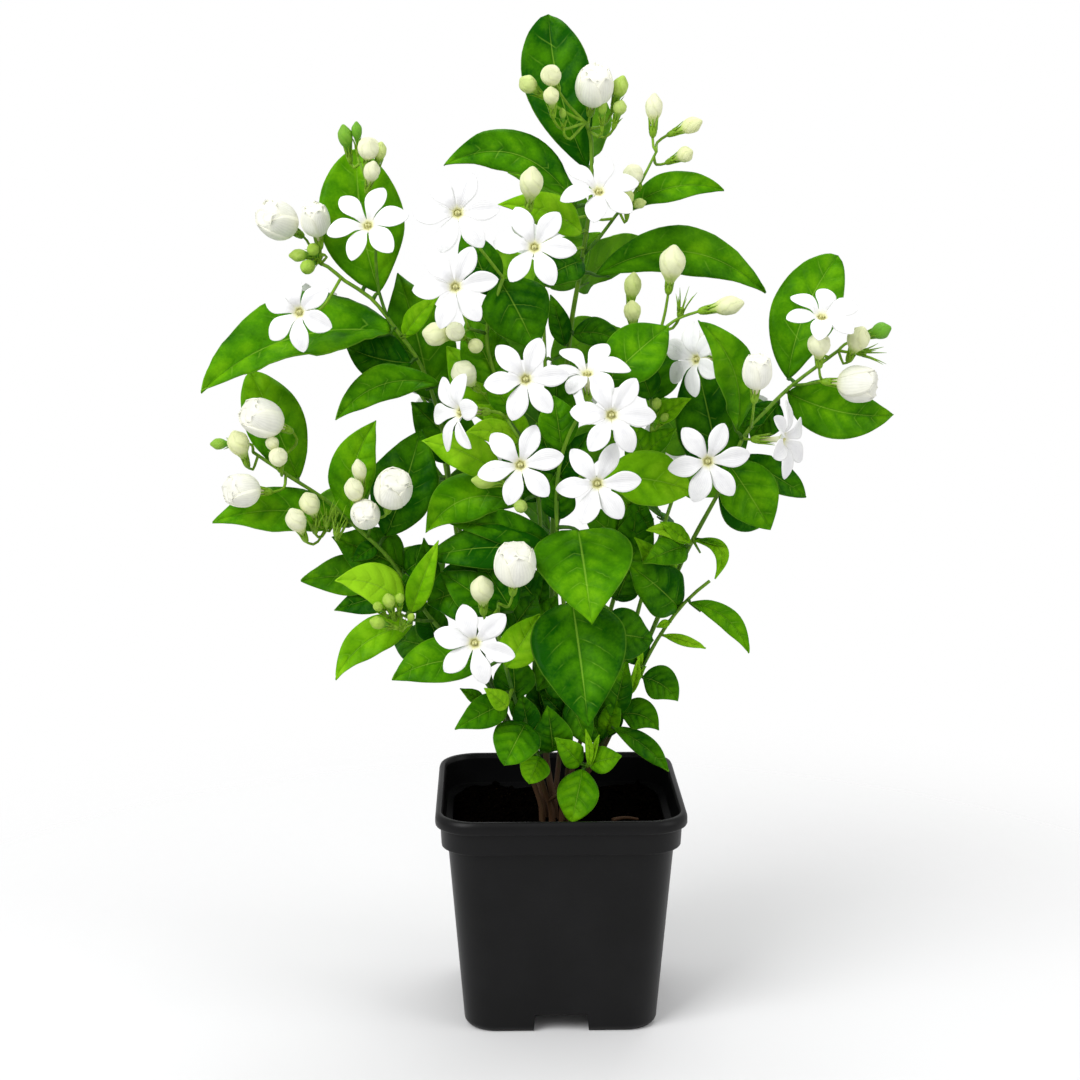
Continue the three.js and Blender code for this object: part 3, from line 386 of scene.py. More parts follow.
        Bud((-122, 210, -30), -75, 0, 4, 5.6, 0.8),
        Bud((-58, 153, -40), 10, 60, 3.2, 4.2, 0.64),
        Bud((-66, 150, -42), -30, 40, 3.2, 4.2, 0.64),
        Bud((-54, 146, -39), 40, 50, 2.6, 3.4, 0.64),
    ], bare=[
        Bud((-84, 185, -33), 10, 70, 1, 1),
        Bud((-80, 181, -34), 20, 60, 1, 1),
        Bud((-89, 182, -34), -10, 60, 1, 1),
    ]),
    Stem("stem_low", (-3.2, -11.2), branches=[
        Branch(1.2, 0.8, [
            (-5, 80, -16), (-11, 99, -22), (-17, 118, -32), (-22, 139, -38), (-22, 151, -40)]),
        Branch(1, 0.7, [
            (1, 76, -15), (5, 82, -18), (10, 89, -20)]),
    ], leaves=[
        Leaf((-25, 128, -36), (-61, 123, -46), 17, DARK, ELLIPTIC, 0.06, 8, 0.09),
        Leaf((-19, 127, -42), (-7, 147, -39), 14, FRESH),
        Leaf((-22, 153, -30), (-48, 151, -28), 22, DEEP, ELLIPTIC, 0.08, 0, 0.1),
        Leaf((-19, 114, -35), (-38, 104, -45), 12),
        Leaf((-12, 106, -31), (-20, 90, -48), 17, DARK, BLUNT, 0.1),
        Leaf((-7, 93, -26), (-11, 83, -34), 11, FULL, BLUNT, 0.1),
        Leaf((9, 88, -21), (5, 68, -33), 15, FULL, BLUNT, 0.1),
        Leaf((11, 90, -20), (23, 93, -25), 10, FULL, ELLIPTIC, 0.1),
        Leaf((-2, 95, -22), (-4, 112, -28), 15, DEEP, OVATE, 0.08),
        Leaf((-16, 115, -30), (-17, 133, -26), 15, DEEP, OVATE, 0.08),
    ], small=[
        Leaf((-4, 97, -14), (-9, 127, -18), 14),
        Leaf((-17, 148, -34), (-29, 167, -30), 15),
        Leaf((-11, 106, -26), (-19, 118, -30), 8),
        Leaf((-22, 148, -34), (-43, 163, -30), 15),
        Leaf((8, 90, -22), (-1, 100, -30), 9.5, FULL),
        Leaf((11, 89, -22), (10, 103, -26), 3, FRESH, ELLIPTIC, 0.05, 0, 0.05),
        Leaf((12, 89, -22), (15, 101, -24), 2.6, FRESH, ELLIPTIC, 0.05, 0, -0.05),
        Leaf((-19, 112, -42), (-27, 119, -47), 7, YOUNG),
        Leaf((-11, 103, -28), (-14, 117, -30), 10),
        Leaf((-28, 114, -34), (-36, 119, -38), 5),
        Leaf((-9, 97, -24), (-14, 106, -26), 9),
        Leaf((-20, 137, -34), (-8, 154, -20), 15),
    ], open=[
        Bloom("flower_low", (-31, 136, -62), -5, 6, 44),
    ], half=[
        Bud((-16, 165, -60), 8, 62, 14, 15, name="half_open_low"),
    ], free=[
        Bud((-28, 156, -52), -6, 66, 8, 10, name="bud_low"),
    ]),
    Stem("stem_right", (2.8, -3.6), branches=[
        Branch(1.3, 0.8, [
            (17, 97, 5), (30, 130, 1), (43, 162, -8), (49, 175, -14), (60, 196, -19),
            (66, 211, -18), (74, 221, -15), (83, 230, -10), (92, 237, -9), (100, 243, -10)]),
        Branch(0.7, 0.6, [
            (84, 230, -10), (89, 231, -12), (95, 232, -14)]),
    ], leaves=[
        Leaf((64, 214, -26), (51, 253, -50), 15.5, FULL, ELLIPTIC, 0.05, 8, 0.1),
        Leaf((82, 233, -4), (99, 277, 8), 24, FULL, BLUNT, 0.05, -8, -0.06),
        Leaf((82, 228, -6), (121, 220, 0), 21, FULL, OVATE, 0.05, 12, 0.08),
        Leaf((79, 224, -10), (69, 211, -8), 13, DEEP, OVATE, 0.08),
        Leaf((60, 204, -21), (77, 178, -27), 21, FULL, ELLIPTIC),
        Leaf((59, 198, -12), (75, 180, -6), 18, DEEP, ELLIPTIC, 0.06, 0, 0.1),
        Leaf((65, 205, -14), (90, 190, -10), 12, DEEP, ELLIPTIC),
        Leaf((59, 196, -8), (48, 243, 8), 26, DEEP, OVATE, 0.05),
        Leaf((49, 174, -15), (57, 160, -22), 5.5, FRESH, ELLIPTIC, 0.1, 0, -0.4),
        Leaf((47, 173, -15), (37, 181, -20), 6, FRESH, ELLIPTIC, 0.1),
        Leaf((46, 172, -15), (31, 166, -28), 12, FULL, OVATE, 0.1),
    ], small=[
        Leaf((41, 158, -10), (28, 175, -16), 10, FRESH, OVATE, 0.08),
        Leaf((48, 173, -15), (32, 178, -22), 6, YOUNG, ELLIPTIC, 0.08, 0, 0.1),
        Leaf((46, 169, -13), (37, 174, -20), 5, YOUNG, OVATE, 0.08),
        Leaf((49, 175, -14), (61, 172, -20), 1.6, FULL, ELLIPTIC, 0.05),
        Leaf((74, 221, -14), (66, 216, -16), 7, DEEP, OVATE, 0.08),
    ], open=[
        Bloom("flower_right", (54, 203, -46), 5, 5, 8),
        Bloom("flower_right_top", (94, 256, -24), 4, 48, 15, 13.6),
        Bloom("flower_right_side", (82, 211, -30), 57, 4, 20, 13.6),
    ], half=[
        Bud((71, 235, -48), 4, 68, 10, 12, name="half_open_right"),
        Bud((107, 231, -20), 70, -2, 13, 14, name="half_open_right_edge"),
    ], free=[
        Bud((93, 245, -24), -12, 58, 8, 9, name="bud_right"),
        Bud((107, 247, -18), 25, 55, 8, 9.5, name="bud_right_edge"),
    ], buds=[
        Bud((115, 250, -12), 70, 20, 6, 7, 0.95),
    ], bare=[
        Bud((112, 242, -14), 60, 0, 1, 1),
    ]),
    Stem("stem_mid_right", (2.2, 0.6), branches=[
        Branch(1.2, 0.8, [
            (10, 107, 10), (17, 141, 6), (28, 182, -3), (33, 211, -13), (33, 229, -18),
            (36, 250, -23)]),
        Branch(0.7, 0.6, [
            (33, 226, -17), (30, 240, -18), (28, 250, -19)]),
    ], leaves=[
        Leaf((34, 218, -20), (47, 226, -26), 8, FRESH, OVATE, 0.08),
        Leaf((33, 225, -12), (37, 250, -10), 17),
        Leaf((33, 226, -20), (26, 243, -24), 11),
        Leaf((29, 189, 0), (39, 211, 20), 18),
    ], small=[
        Leaf((31, 203, -12), (26, 217, -18), 13, FULL),
        Leaf((25, 171, -2), (8, 186, -10), 15, DEEP, OVATE, 0.08),
        Leaf((27, 173, -2), (30, 191, -8), 13, DEEP, OVATE, 0.08),
        Leaf((28, 182, -4), (19, 196, -6), 12, FULL, OVATE, 0.08),
        Leaf((26, 167, -4), (28, 186, -8), 14, DEEP, OVATE, 0.08),
        Leaf((25, 165, -4), (34, 182, -8), 12, DEEP, OVATE, 0.08),
        Leaf((21, 152, 2), (27, 167, -4), 13, DEEP, OVATE, 0.08),
        Leaf((15, 126, 8), (23, 140, 4), 13, DEEP, OVATE, 0.08),
        Leaf((32, 207, -14), (42, 215, -22), 8, FULL, OVATE, 0.08),
    ], open=[
        Bloom("flower_right_inner", (48, 240, -30), -45, 6, 40, 13.2),
    ], free=[
        Bud((40, 274, -30), 12, 68, 9, 12, name="bud_top_right"),
        Bud((60, 259, -32), 66, 12, 6.5, 10.5, name="bud_right_inner"),
    ], buds=[
        Bud((26, 266, -21), 10, 65, 6, 9.5, 0.44),
        Bud((26, 257, -24), -10, 60, 6, 8, 0.3),
        Bud((35, 224, -24), 0, 50, 3.4, 5, 0.6),
        Bud((38, 219, -24), 30, 40, 3, 4, 0.6),
    ], bare=[
        Bud((44, 260, -27), 18, 60, 1, 1),
    ]),
    Stem("stem_right_low", (3.4, -7.8), branches=[
        Branch(1.2, 0.8, [
            (16, 98, -8), (25, 115, -10), (36, 137, -12), (46, 151, -14), (55, 159, -17)]),
    ], leaves=[
        Leaf((48, 151, -15), (70, 132, -20), 8, FULL, ELLIPTIC, 0.05, 0, -0.14),
        Leaf((38, 139, -13), (54, 134, -17), 4, FRESH, ELLIPTIC, 0.05),
        Leaf((31, 123, -12), (44, 114, -14), 13, DARK, OVATE, 0.05, 0, -0.1),
        Leaf((23, 109, -11), (37, 103, -16), 12, DARK, OVATE, 0.05, 0, -0.16),
        Leaf((20, 104, -12), (41, 87, -14), 8, DARK, ELLIPTIC, 0.05, 0, -0.06),
        Leaf((44, 149, -12), (25, 166, -22), 19, DEEP, OVATE, 0.08),
        Leaf((30, 128, -10), (22, 148, -14), 12, DEEP, OVATE, 0.08),
    ], small=[
        Leaf((20, 108, -12), (25, 130, -14), 10),
        Leaf((16, 100, -6), (21, 121, -8), 12),
        Leaf((17, 101, -8), (22, 117, -14), 8, FULL),
        Leaf((16, 98, -8), (11, 110, -10), 8),
        Leaf((26, 116, -11), (29, 130, -14), 3.4, FRESH, ELLIPTIC, 0.05, 0, 0.05),
        Leaf((25, 114, -11), (32, 127, -12), 2.8, FRESH, ELLIPTIC, 0.05, 0, -0.05),
        Leaf((30, 127, -12), (28, 137, -14), 2.6, FRESH, ELLIPTIC, 0.05, 0, 0.05),
        Leaf((41, 144, -13), (36, 142, -16), 3, FRESH, ELLIPTIC, 0.05),
    ]),
    Stem("stem_back_left", (-5.4, 0.8), branches=[
        Branch(1.2, 0.8, [
            (-20, 107, 16), (-33, 152, 24), (-39, 189, 32), (-44, 215, 38), (-52, 231, 40),
            (-66, 243, 40), (-80, 253, 40)]),
        Branch(0.8, 0.6, [
            (-40, 198, 34), (-52, 197, 42), (-68, 193, 48)]),
    ], leaves=[
        Leaf((-76, 252, 40), (-108, 251, 46), 16, FULL, ELLIPTIC),
        Leaf((-48, 226, 40), (-28, 241, 60), 20, DEEP, ELLIPTIC),
        Leaf((-70, 189, 50), (-94, 179, 58), 19, FULL),
        Leaf((-41, 197, 36), (-63, 201, 56), 18, DEEP, ELLIPTIC),
        Leaf((-57, 236, 41), (-46, 257, 60), 19, FULL),
        Leaf((-39, 186, 34), (-24, 203, 56), 20),
        Leaf((-42, 167, 30), (-72, 156, 44), 20, FULL),
        Leaf((-35, 162, 30), (-24, 167, 58), 19, DEEP, OVATE, 0.08),
    ], open=[
        Bloom("flower_back_left_edge", (-89, 255, 66), 205, 10, 20),
        Bloom("flower_back_left", (-43, 229, 70), 178, 12, 10),
    ], half=[
        Bud((-75, 203, 66), 195, 20, 13, 14, name="half_open_back_left"),
    ], buds=[
        Bud((-82, 254, 56), 200, 40, 7.5, 9),
    ]),
    Stem("stem_back", (-1.4, 1.2), branches=[
        Branch(1.3, 0.8, [
            (1, 107, 18), (-1, 152, 26), (-3, 196, 34), (-5, 236, 39), (-6, 270, 40)]),
        Branch(0.8, 0.6, [
            (-4, 218, 37), (0, 225, 48), (4, 231, 56)]),
    ], leaves=[
        Leaf((-7, 260, 41), (-28, 279, 50), 20, FRESH),
        Leaf((-4, 266, 41), (14, 285, 50), 20, FULL),
        Leaf((-7, 243, 42), (-32, 258, 56), 22),
        Leaf((-3, 240, 42), (22, 251, 58), 22, FULL),
        Leaf((-5, 215, 40), (-28, 231, 60), 21),
        Leaf((-1, 200, 38), (23, 213, 60), 22, FULL),
        Leaf((-3, 178, 34), (-20, 193, 62), 20),
        Leaf((1, 162, 32), (21, 167, 56), 20, FULL),
        Leaf((-1, 148, 28), (-11, 134, 52), 18, DEEP, OVATE, 0.08),
        Leaf((2, 118, 22), (15, 118, 46), 15, FRESH, OVATE, 0.08),
    ], open=[
        Bloom("flower_back_top", (-5, 283, 58), 178, 20, 25),
        Bloom("flower_back", (9, 236, 70), 172, 10, 12),
        Bloom("flower_back_low", (-12, 206, 70), 186, 8, 40),
    ]),
    Stem("stem_back_right", (6, -0.2), branches=[
        Branch(1.2, 0.8, [
            (19, 107, 17), (30, 152, 25), (41, 189, 34), (49, 211, 38), (55, 227, 40)]),
        Branch(0.8, 0.6, [
            (44, 196, 35), (41, 198, 46), (38, 199, 54)]),
    ], leaves=[
        Leaf((56, 227, 41), (64, 240, 52), 15, FULL),
        Leaf((53, 216, 40), (77, 223, 48), 19),
        Leaf((47, 207, 39), (31, 227, 58), 20, FULL),
        Leaf((45, 196, 36), (70, 193, 52), 20, FULL),
        Leaf((38, 182, 34), (26, 189, 62), 19),
        Leaf((35, 167, 30), (42, 161, 56), 17, FRESH),
        Leaf((24, 137, 28), (15, 148, 54), 18, FULL, OVATE, 0.08),
    ], open=[
        Bloom("flower_back_right_edge", (64, 221, 64), 150, 12, 35),
        Bloom("flower_back_right", (37, 205, 70), 176, 8, 5),
    ], half=[
        Bud((50, 243, 64), 165, 40, 12, 13, name="half_open_back_right"),
    ]),
]


def place(spot: Spot) -> Vector:
    """The point in space of a place that is given as it looks from the front.

    Args:
        spot: across, height and depth, as for EYE.

    Returns:
        The point.
    """
    across, height, depth = spot
    reach = 1 - depth / EYE.y
    return Vector((EYE.x + (across - EYE.x) * reach, depth, EYE.z + (height - EYE.z) * reach))


def look_direction(compass: float, elevation: float) -> Vector:
    """The way that a flower faces.

    Args:
        compass: 0 to the front and 90 to the right.
        elevation: the angle above the level.

    Returns:
        The way, of length 1.
    """
    azimuth, rise = math.radians(compass), math.radians(elevation)
    level = math.cos(rise)
    return Vector((math.sin(azimuth) * level, -math.cos(azimuth) * level, math.sin(rise)))


def axes(ahead: Vector, at: Vector) -> Matrix:
    """A pose whose third axis is a given way and whose second leans upwards.

    Args:
        ahead: the way of the third axis.
        at: where the pose stands.

    Returns:
        The pose as a 4x4 matrix.
    """
    ahead = ahead.normalized()
    upright = Vector((0, 1, 0)) if abs(ahead.z) > 0.95 else Vector((0, 0, 1))
    right = upright.cross(ahead).normalized()
    turned = Matrix((right, ahead.cross(right), ahead)).transposed()
    return Matrix.Translation(at) @ turned.to_4x4()


def stance(flower: Bloom | Bud, behind: float = 0) -> Matrix:
    """The pose that a flower stands in, moved back by a length."""
    ahead = look_direction(flower.compass, flower.elevation)
    return axes(ahead, place(flower.centre) - ahead * behind)


def nearest(spot: Vector, paths: Sequence[Sequence[Vector]]) -> Vector:
    """The point of some paths that lies nearest to a spot.

    Args:
        spot: the spot.
        paths: the paths, each as its points.

    Returns:
        The point.
    """
    found = []
    for path in paths:
        for start, end in zip(path, path[1:]):
            along = end - start
            share = (spot - start).dot(along) / max(along.length_squared, 1e-9)
            found.append(start + along * min(max(share, 0), 1))
    return min(found, key=lambda point: (point - spot).length)


def smooth_path(places: Sequence[Vector], step: float) -> list[Vector]:
    """A curve through some places.

    Args:
        places: the places, in order.
        step: about how far apart the points of the curve are.

    Returns:
        The points, which include every place.
    """
    ends = [2 * places[0] - places[1], *places, 2 * places[-1] - places[-2]]
    points = [places[0]]
    for a, b, c, d in zip(ends, ends[1:], ends[2:], ends[3:]):
        cuts = max(1, round((c - b).length / step))
        for i in range(1, cuts + 1):
            t = i / cuts
            points.append(
                0.5 * (2 * b + (c - a) * t + (2 * a - 5 * b + 4 * c - d) * t**2
                       + (3 * b - a - 3 * c + d) * t**3)
            )
    return points


def mix(start: float, end: float, share: float) -> float:
    """A value between two others."""
    return start + (end - start) * share


def taper(start: float, end: float, count: int) -> list[float]:
    """Some radii that go evenly from a start to an end."""
    return [mix(start, end, i / (count - 1)) for i in range(count)]


def step_between(low: float, high: float, value: float) -> float:
    """A smooth step from 0 at low to 1 at high."""
    share = min(max((value - low) / (high - low), 0), 1)
    return share * share * (3 - 2 * share)


def blade_width(along: float, outline: Outline) -> float:
    """The width of a blade at a share of its length, as a share of its greatest width.

    Args:
        along: the share of the length.
        outline: the leaf's outline.

    Returns:
        The share of the width.
    """
    if along < outline.widest:
        return math.sin(math.pi / 2 * max(along, 0) / outline.widest) ** outline.base
    gone = (min(along, 1) - outline.widest) / (1 - outline.widest)
    return max(math.cos(math.pi / 2 * gone), 0) ** outline.tip


class Clay:
    """A piece in the making: one bmesh in millimetres, with values at its corners.

    The values are what the finishes read: across and along a blade, the count of side veins up
    to the corner, and the tone, from the darkest or woodiest to the youngest.
    """

    LAYERS = ("across", "along", "vein", "tone")

    def __init__(self) -> None:
        """Starts an empty piece."""
        self.mesh = bmesh.new()
        self.layers = {name: self.mesh.verts.layers.float.new(name) for name in self.LAYERS}

    def _put(self, verts: Sequence[bmesh.types.BMVert],
             where: Callable[[Vector], tuple[Vector, Values]]) -> None:
        """Moves corners to where a formula puts them, and gives them its values.

        Args:
            verts: the corners.
            where: gives the new place and the values for a place.
        """
        for vert in verts:
            vert.co, values = where(vert.co.copy())
            for name, value in values.items():
                vert[self.layers[name]] = value

    def sheet(self, columns: int, rows: int,
              where: Callable[[float, float], tuple[Vector, Values]],
              thickness: float = 0.0) -> None:
        """Adds a sheet.

        Args:
            columns: faces across.
            rows: faces along.
            where: gives the place and values for -1 to 1 across and 0 to 1 along.
            thickness: 0 for a single skin, or how thick the sheet is.
        """
        known = len(self.mesh.faces)
        made = bmesh.ops.create_grid(self.mesh, x_segments=columns, y_segments=rows, size=1)
        self._put(made["verts"], lambda co: where(co.x, (co.y + 1) / 2))
        if thickness:
            self.mesh.faces.ensure_lookup_table()
            faces = self.mesh.faces[known:]
            self.mesh.normal_update()
            bmesh.ops.solidify(self.mesh, geom=faces, thickness=thickness)

    def rod(self, places: Sequence[Vector], radii: Sequence[float], sides: int,
            tone: float | Callable[[float], float]) -> None:
        """Adds a closed round rod with one ring at each place.

        Args:
            places: the middles of the rings.
            radii: the radius at each place.
            sides: corners of a ring.
            tone: the corners' tone, or what gives it at a share of the length.
        """
        count = len(places)
        last = count - 1
        made = bmesh.ops.create_uvsphere(self.mesh, u_segments=sides, v_segments=count + 1,
                                         radius=1)
        ways = [places[min(i + 1, last)] - places[max(i - 1, 0)] for i in range(count)]
        turned = axes(ways[0], Vector()).to_3x3()
        poses = [turned]
        for before, after in zip(ways, ways[1:]):
            turned = before.rotation_difference(after).to_matrix() @ turned
            poses.append(turned)
        tones = [tone(i / max(last, 1)) if callable(tone) else tone for i in range(count)]

        def where(corner: Vector) -> tuple[Vector, Values]:
            """The place and tone of a corner of the round ball."""
            level = round(math.acos(min(max(corner.z, -1), 1)) / math.pi * (count + 1))
            ring = min(max(level - 1, 0), last)
            out = Vector((corner.x, corner.y, 0))
            out = out.normalized() * radii[ring] if 0 < level <= count else Vector()
            return places[ring] + poses[ring] @ out, {"tone": tones[ring]}

        self._put(made["verts"], where)

    def ball(self, around: int, rings: int,
             where: Callable[[Vector], tuple[Vector, Values]]) -> None:
        """Adds a ball that a formula shapes from the round ball of radius 1."""
        made = bmesh.ops.create_uvsphere(self.mesh, u_segments=around, v_segments=rings, radius=1)
        self._put(made["verts"], where)

    def lump(self, at: Vector, radius: float, rng: random.Random, tone: float) -> None:
        """Adds a small rough lump.

        Args:
            at: its middle.
            radius: its radius before it is squashed.
            rng: the source of its roughness.
            tone: its tone.
        """
        made = bmesh.ops.create_icosphere(self.mesh, subdivisions=1, radius=radius)
        squash = Vector((rng.uniform(0.7, 1.2), rng.uniform(0.7, 1.2), rng.uniform(0.5, 0.9)))

        def where(corner: Vector) -> tuple[Vector, Values]:
            """A rough and squashed place for a corner."""
            rough = corner * rng.uniform(0.75, 1.2)
            return at + Vector(a * b for a, b in zip(rough, squash)), {"tone": tone}

        self._put(made["verts"], where)

    def merge(self, gap: float) -> None:
        """Closes seams: corners that lie within a gap of each other become one."""
        bmesh.ops.remove_doubles(self.mesh, verts=self.mesh.verts, dist=gap)

    def tidy_normals(self) -> None:
        """Turns the faces of closed shells outwards."""
        bmesh.ops.recalc_face_normals(self.mesh, faces=self.mesh.faces)

    def cast(self, name: str) -> bpy.types.Object:
        """Uses the clay up for an object in metres.

        Args:
            name: the object's name.

        Returns:
            The object, at the origin.
        """
        bmesh.ops.scale(self.mesh, vec=(MM, MM, MM), verts=self.mesh.verts)
        for face in self.mesh.faces:
            face.smooth = True
        data = bpy.data.meshes.new(name)
        self.mesh.to_mesh(data)
        self.mesh.free()
        body = bpy.data.objects.new(name, data)
        bpy.context.scene.collection.objects.link(body)
        return body


class Piece:
    """A finished piece of the object."""

    def __init__(self, name: str, clay: Clay, slot: str, nodes: Sequence[str],
                 materials: Sequence[bpy.types.Material], closed: bool = True) -> None:
        """Makes the object from the clay and sets it in the frame.

        Args:
            name: the piece's name.
            clay: its shape, which is used up.
            slot: the record's material slot, which is not used.
            nodes: the nodes that it stands for.
            materials: its finishes, the first for all faces.
            closed: whether the clay is made of closed shells, whose faces are turned outwards.
        """
        if closed:
            clay.tidy_normals()
        self.body = clay.cast(name)
        for material in materials:
            self.body.data.materials.append(material)
        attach(self.body, "root")
        if nodes:
            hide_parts(*nodes)
        log.info("%s: %d faces", name, len(self.body.data.polygons))

    def thicken(self, thickness: float) -> None:
        """Gives thin sheets their thickness, with the second finish below.

        Args:
            thickness: how thick the sheets are.
        """
        shell = self.body.modifiers.new("thickness", "SOLIDIFY")
        shell.thickness = thickness * MM
        shell.offset = 0
        shell.use_quality_normals = True
        shell.material_offset = 1

    def cut(self, cutter: Clay) -> None:
        """Cuts a shape out of the piece.

        Args:
            cutter: the shape, which is used up.
        """
        tool = cutter.cast("cutter")
        saw = self.body.modifiers.new("saw", "BOOLEAN")
        saw.operation, saw.solver, saw.object = "DIFFERENCE", "EXACT", tool
        graph = bpy.context.evaluated_depsgraph_get()
        sawn = bpy.data.meshes.new_from_object(self.body.evaluated_get(graph))
        self.body.modifiers.remove(saw)
        spent = [tool.data, self.body.data]
        self.body.data = sawn
        sawn.name = self.body.name
        bpy.data.objects.remove(tool)
        for mesh in spent:
            bpy.data.meshes.remove(mesh)


class Wire:
    """A value in a material that sums can be written with."""

    def __init__(self, shop: "Shader", socket: bpy.types.NodeSocket) -> None:
        """Wraps an output socket."""
        self.shop = shop
        self.socket = socket

    def _sum(self, operation: str, *values: Any) -> "Wire":
        """Adds a Math node."""
        return self.shop.add("ShaderNodeMath", dict(enumerate(values)), operation=operation)

    def __add__(self, other: Any) -> "Wire":
        """This plus another."""
        return self._sum("ADD", self, other)

    __radd__ = __add__

    def __sub__(self, other: Any) -> "Wire":
        """This less another."""
        return self._sum("SUBTRACT", self, other)

    def __rsub__(self, other: Any) -> "Wire":
        """Another less this."""
        return self._sum("SUBTRACT", other, self)

    def __mul__(self, other: Any) -> "Wire":
        """This times another."""
        return self._sum("MULTIPLY", self, other)

    __rmul__ = __mul__

    def __abs__(self) -> "Wire":
        """The size of this without its sign."""
        return self._sum("ABSOLUTE", self)

    def sine(self) -> "Wire":
        """The sine of this."""
        return self._sum("SINE", self)

    def to_and_fro(self, span: float) -> "Wire":
        """This folded to and fro between 0 and a span."""
        return self._sum("PINGPONG", self, span)

    def step(self, low: float, high: float) -> "Wire":
        """A smooth step from 0 at low to 1 at high, where low may be the greater."""
        names = {"Value": self, "From Min": low, "From Max": high}
        return self.shop.add("ShaderNodeMapRange", names, interpolation_type="SMOOTHSTEP")


class Shader:
    """A material in the making, around one Principled shader."""

    def __init__(self, name: str) -> None:
        """Starts a material.

        Args:
            name: the material's name.
        """
        self.material = bpy.data.materials.new(name)
        self.material.use_nodes = True
        self.tree = self.material.node_tree
        self.tree.nodes.clear()
        self.surface = self.tree.nodes.new("ShaderNodeBsdfPrincipled")
        output = self.tree.nodes.new("ShaderNodeOutputMaterial")
        self.tree.links.new(self.surface.outputs["BSDF"], output.inputs["Surface"])

    def _set(self, node: bpy.types.Node, sockets: dict[str | int, Any]) -> None:
        """Gives a node's sockets their values or links.

        Args:
            node: the node.
            sockets: what each socket gets.
        """
        for key, value in sockets.items():
            if isinstance(value, Wire):
                self.tree.links.new(value.socket, node.inputs[key])
            else:
                node.inputs[key].default_value = value

    def add(self, kind: str, sockets: dict[str | int, Any] | None = None, output: str | int = 0,
            stops: Sequence[tuple[float, Colour]] = (), **settings: Any) -> Wire:
        """Adds any node.

        Args:
            kind: the node's type.
            sockets: the values or links of its sockets.
            output: the output to go on from.
            stops: a ramp's positions and colours.
            **settings: the node's own settings.

        Returns:
            The output.
        """
        node = self.tree.nodes.new(kind)
        for name, value in settings.items():
            setattr(node, name, value)
        if stops:
            marks = node.color_ramp.elements
            while len(marks) < len(stops):
                marks.new(1)
            for mark, (position, colour) in zip(marks, stops):
                mark.position = position
                mark.color = (*colour, 1)
        self._set(node, sockets or {})
        return Wire(self, node.outputs[output])

    def layer(self, name: str) -> Wire:
        """A value that the corners carry."""
        return self.add("ShaderNodeAttribute", output="Fac", attribute_name=name)

    def spots(self, stretch: Sequence[float] = (1, 1, 1)) -> Wire:
        """Places on the object in millimetres, stretched by three factors.

        Args:
            stretch: the factors.

        Returns:
            The places.
        """
        objects = self.add("ShaderNodeTexCoord", output="Object")
        scale = tuple(1 / MM / factor for factor in stretch)
        return self.add("ShaderNodeMapping", {"Vector": objects, "Scale": scale})

    def noise(self, size: float, detail: float = 2, stretch: Sequence[float] = (1, 1, 1)) -> Wire:
        """Soft noise of about 0.3 to 0.7, whose lumps have a size in millimetres."""
        names = {"Vector": self.spots(stretch), "Scale": 1 / size, "Detail": detail}
        return self.add("ShaderNodeTexNoise", names)

    def ramp(self, value: Wire, stops: Sequence[tuple[float, Colour]]) -> Wire:
        """A colour for a value."""
        return self.add("ShaderNodeValToRGB", {"Fac": value}, output="Color", stops=stops)

    def blend(self, share: Wire, below: Wire | Colour, above: Colour, mode: str = "MIX") -> Wire:
        """A mix of two colours.

        Args:
            share: how much of the upper colour there is.
            below: the lower colour.
            above: the upper colour.
            mode: how the two mix.

        Returns:
            The colour.
        """
        start = below if isinstance(below, Wire) else (*below, 1)
        names = {0: share, 6: start, 7: (*above, 1)}
        return self.add("ShaderNodeMix", names, output=2, data_type="RGBA", blend_type=mode)

    def bump(self, height: Wire, depth: float, strength: float = 1) -> Wire:
        """A relief whose height of 1 is a depth in millimetres."""
        names = {"Height": height, "Distance": depth * MM, "Strength": strength}
        return self.add("ShaderNodeBump", names)

    def finish(self, **sockets: Any) -> bpy.types.Material:
        """Sets the surface's sockets, named with _ for a space, and hands the material over.

        Args:
            **sockets: what each socket gets.

        Returns:
            The material.
        """
        names = {name.replace("_", " "): value for name, value in sockets.items()}
        self._set(self.surface, names)
        return self.material


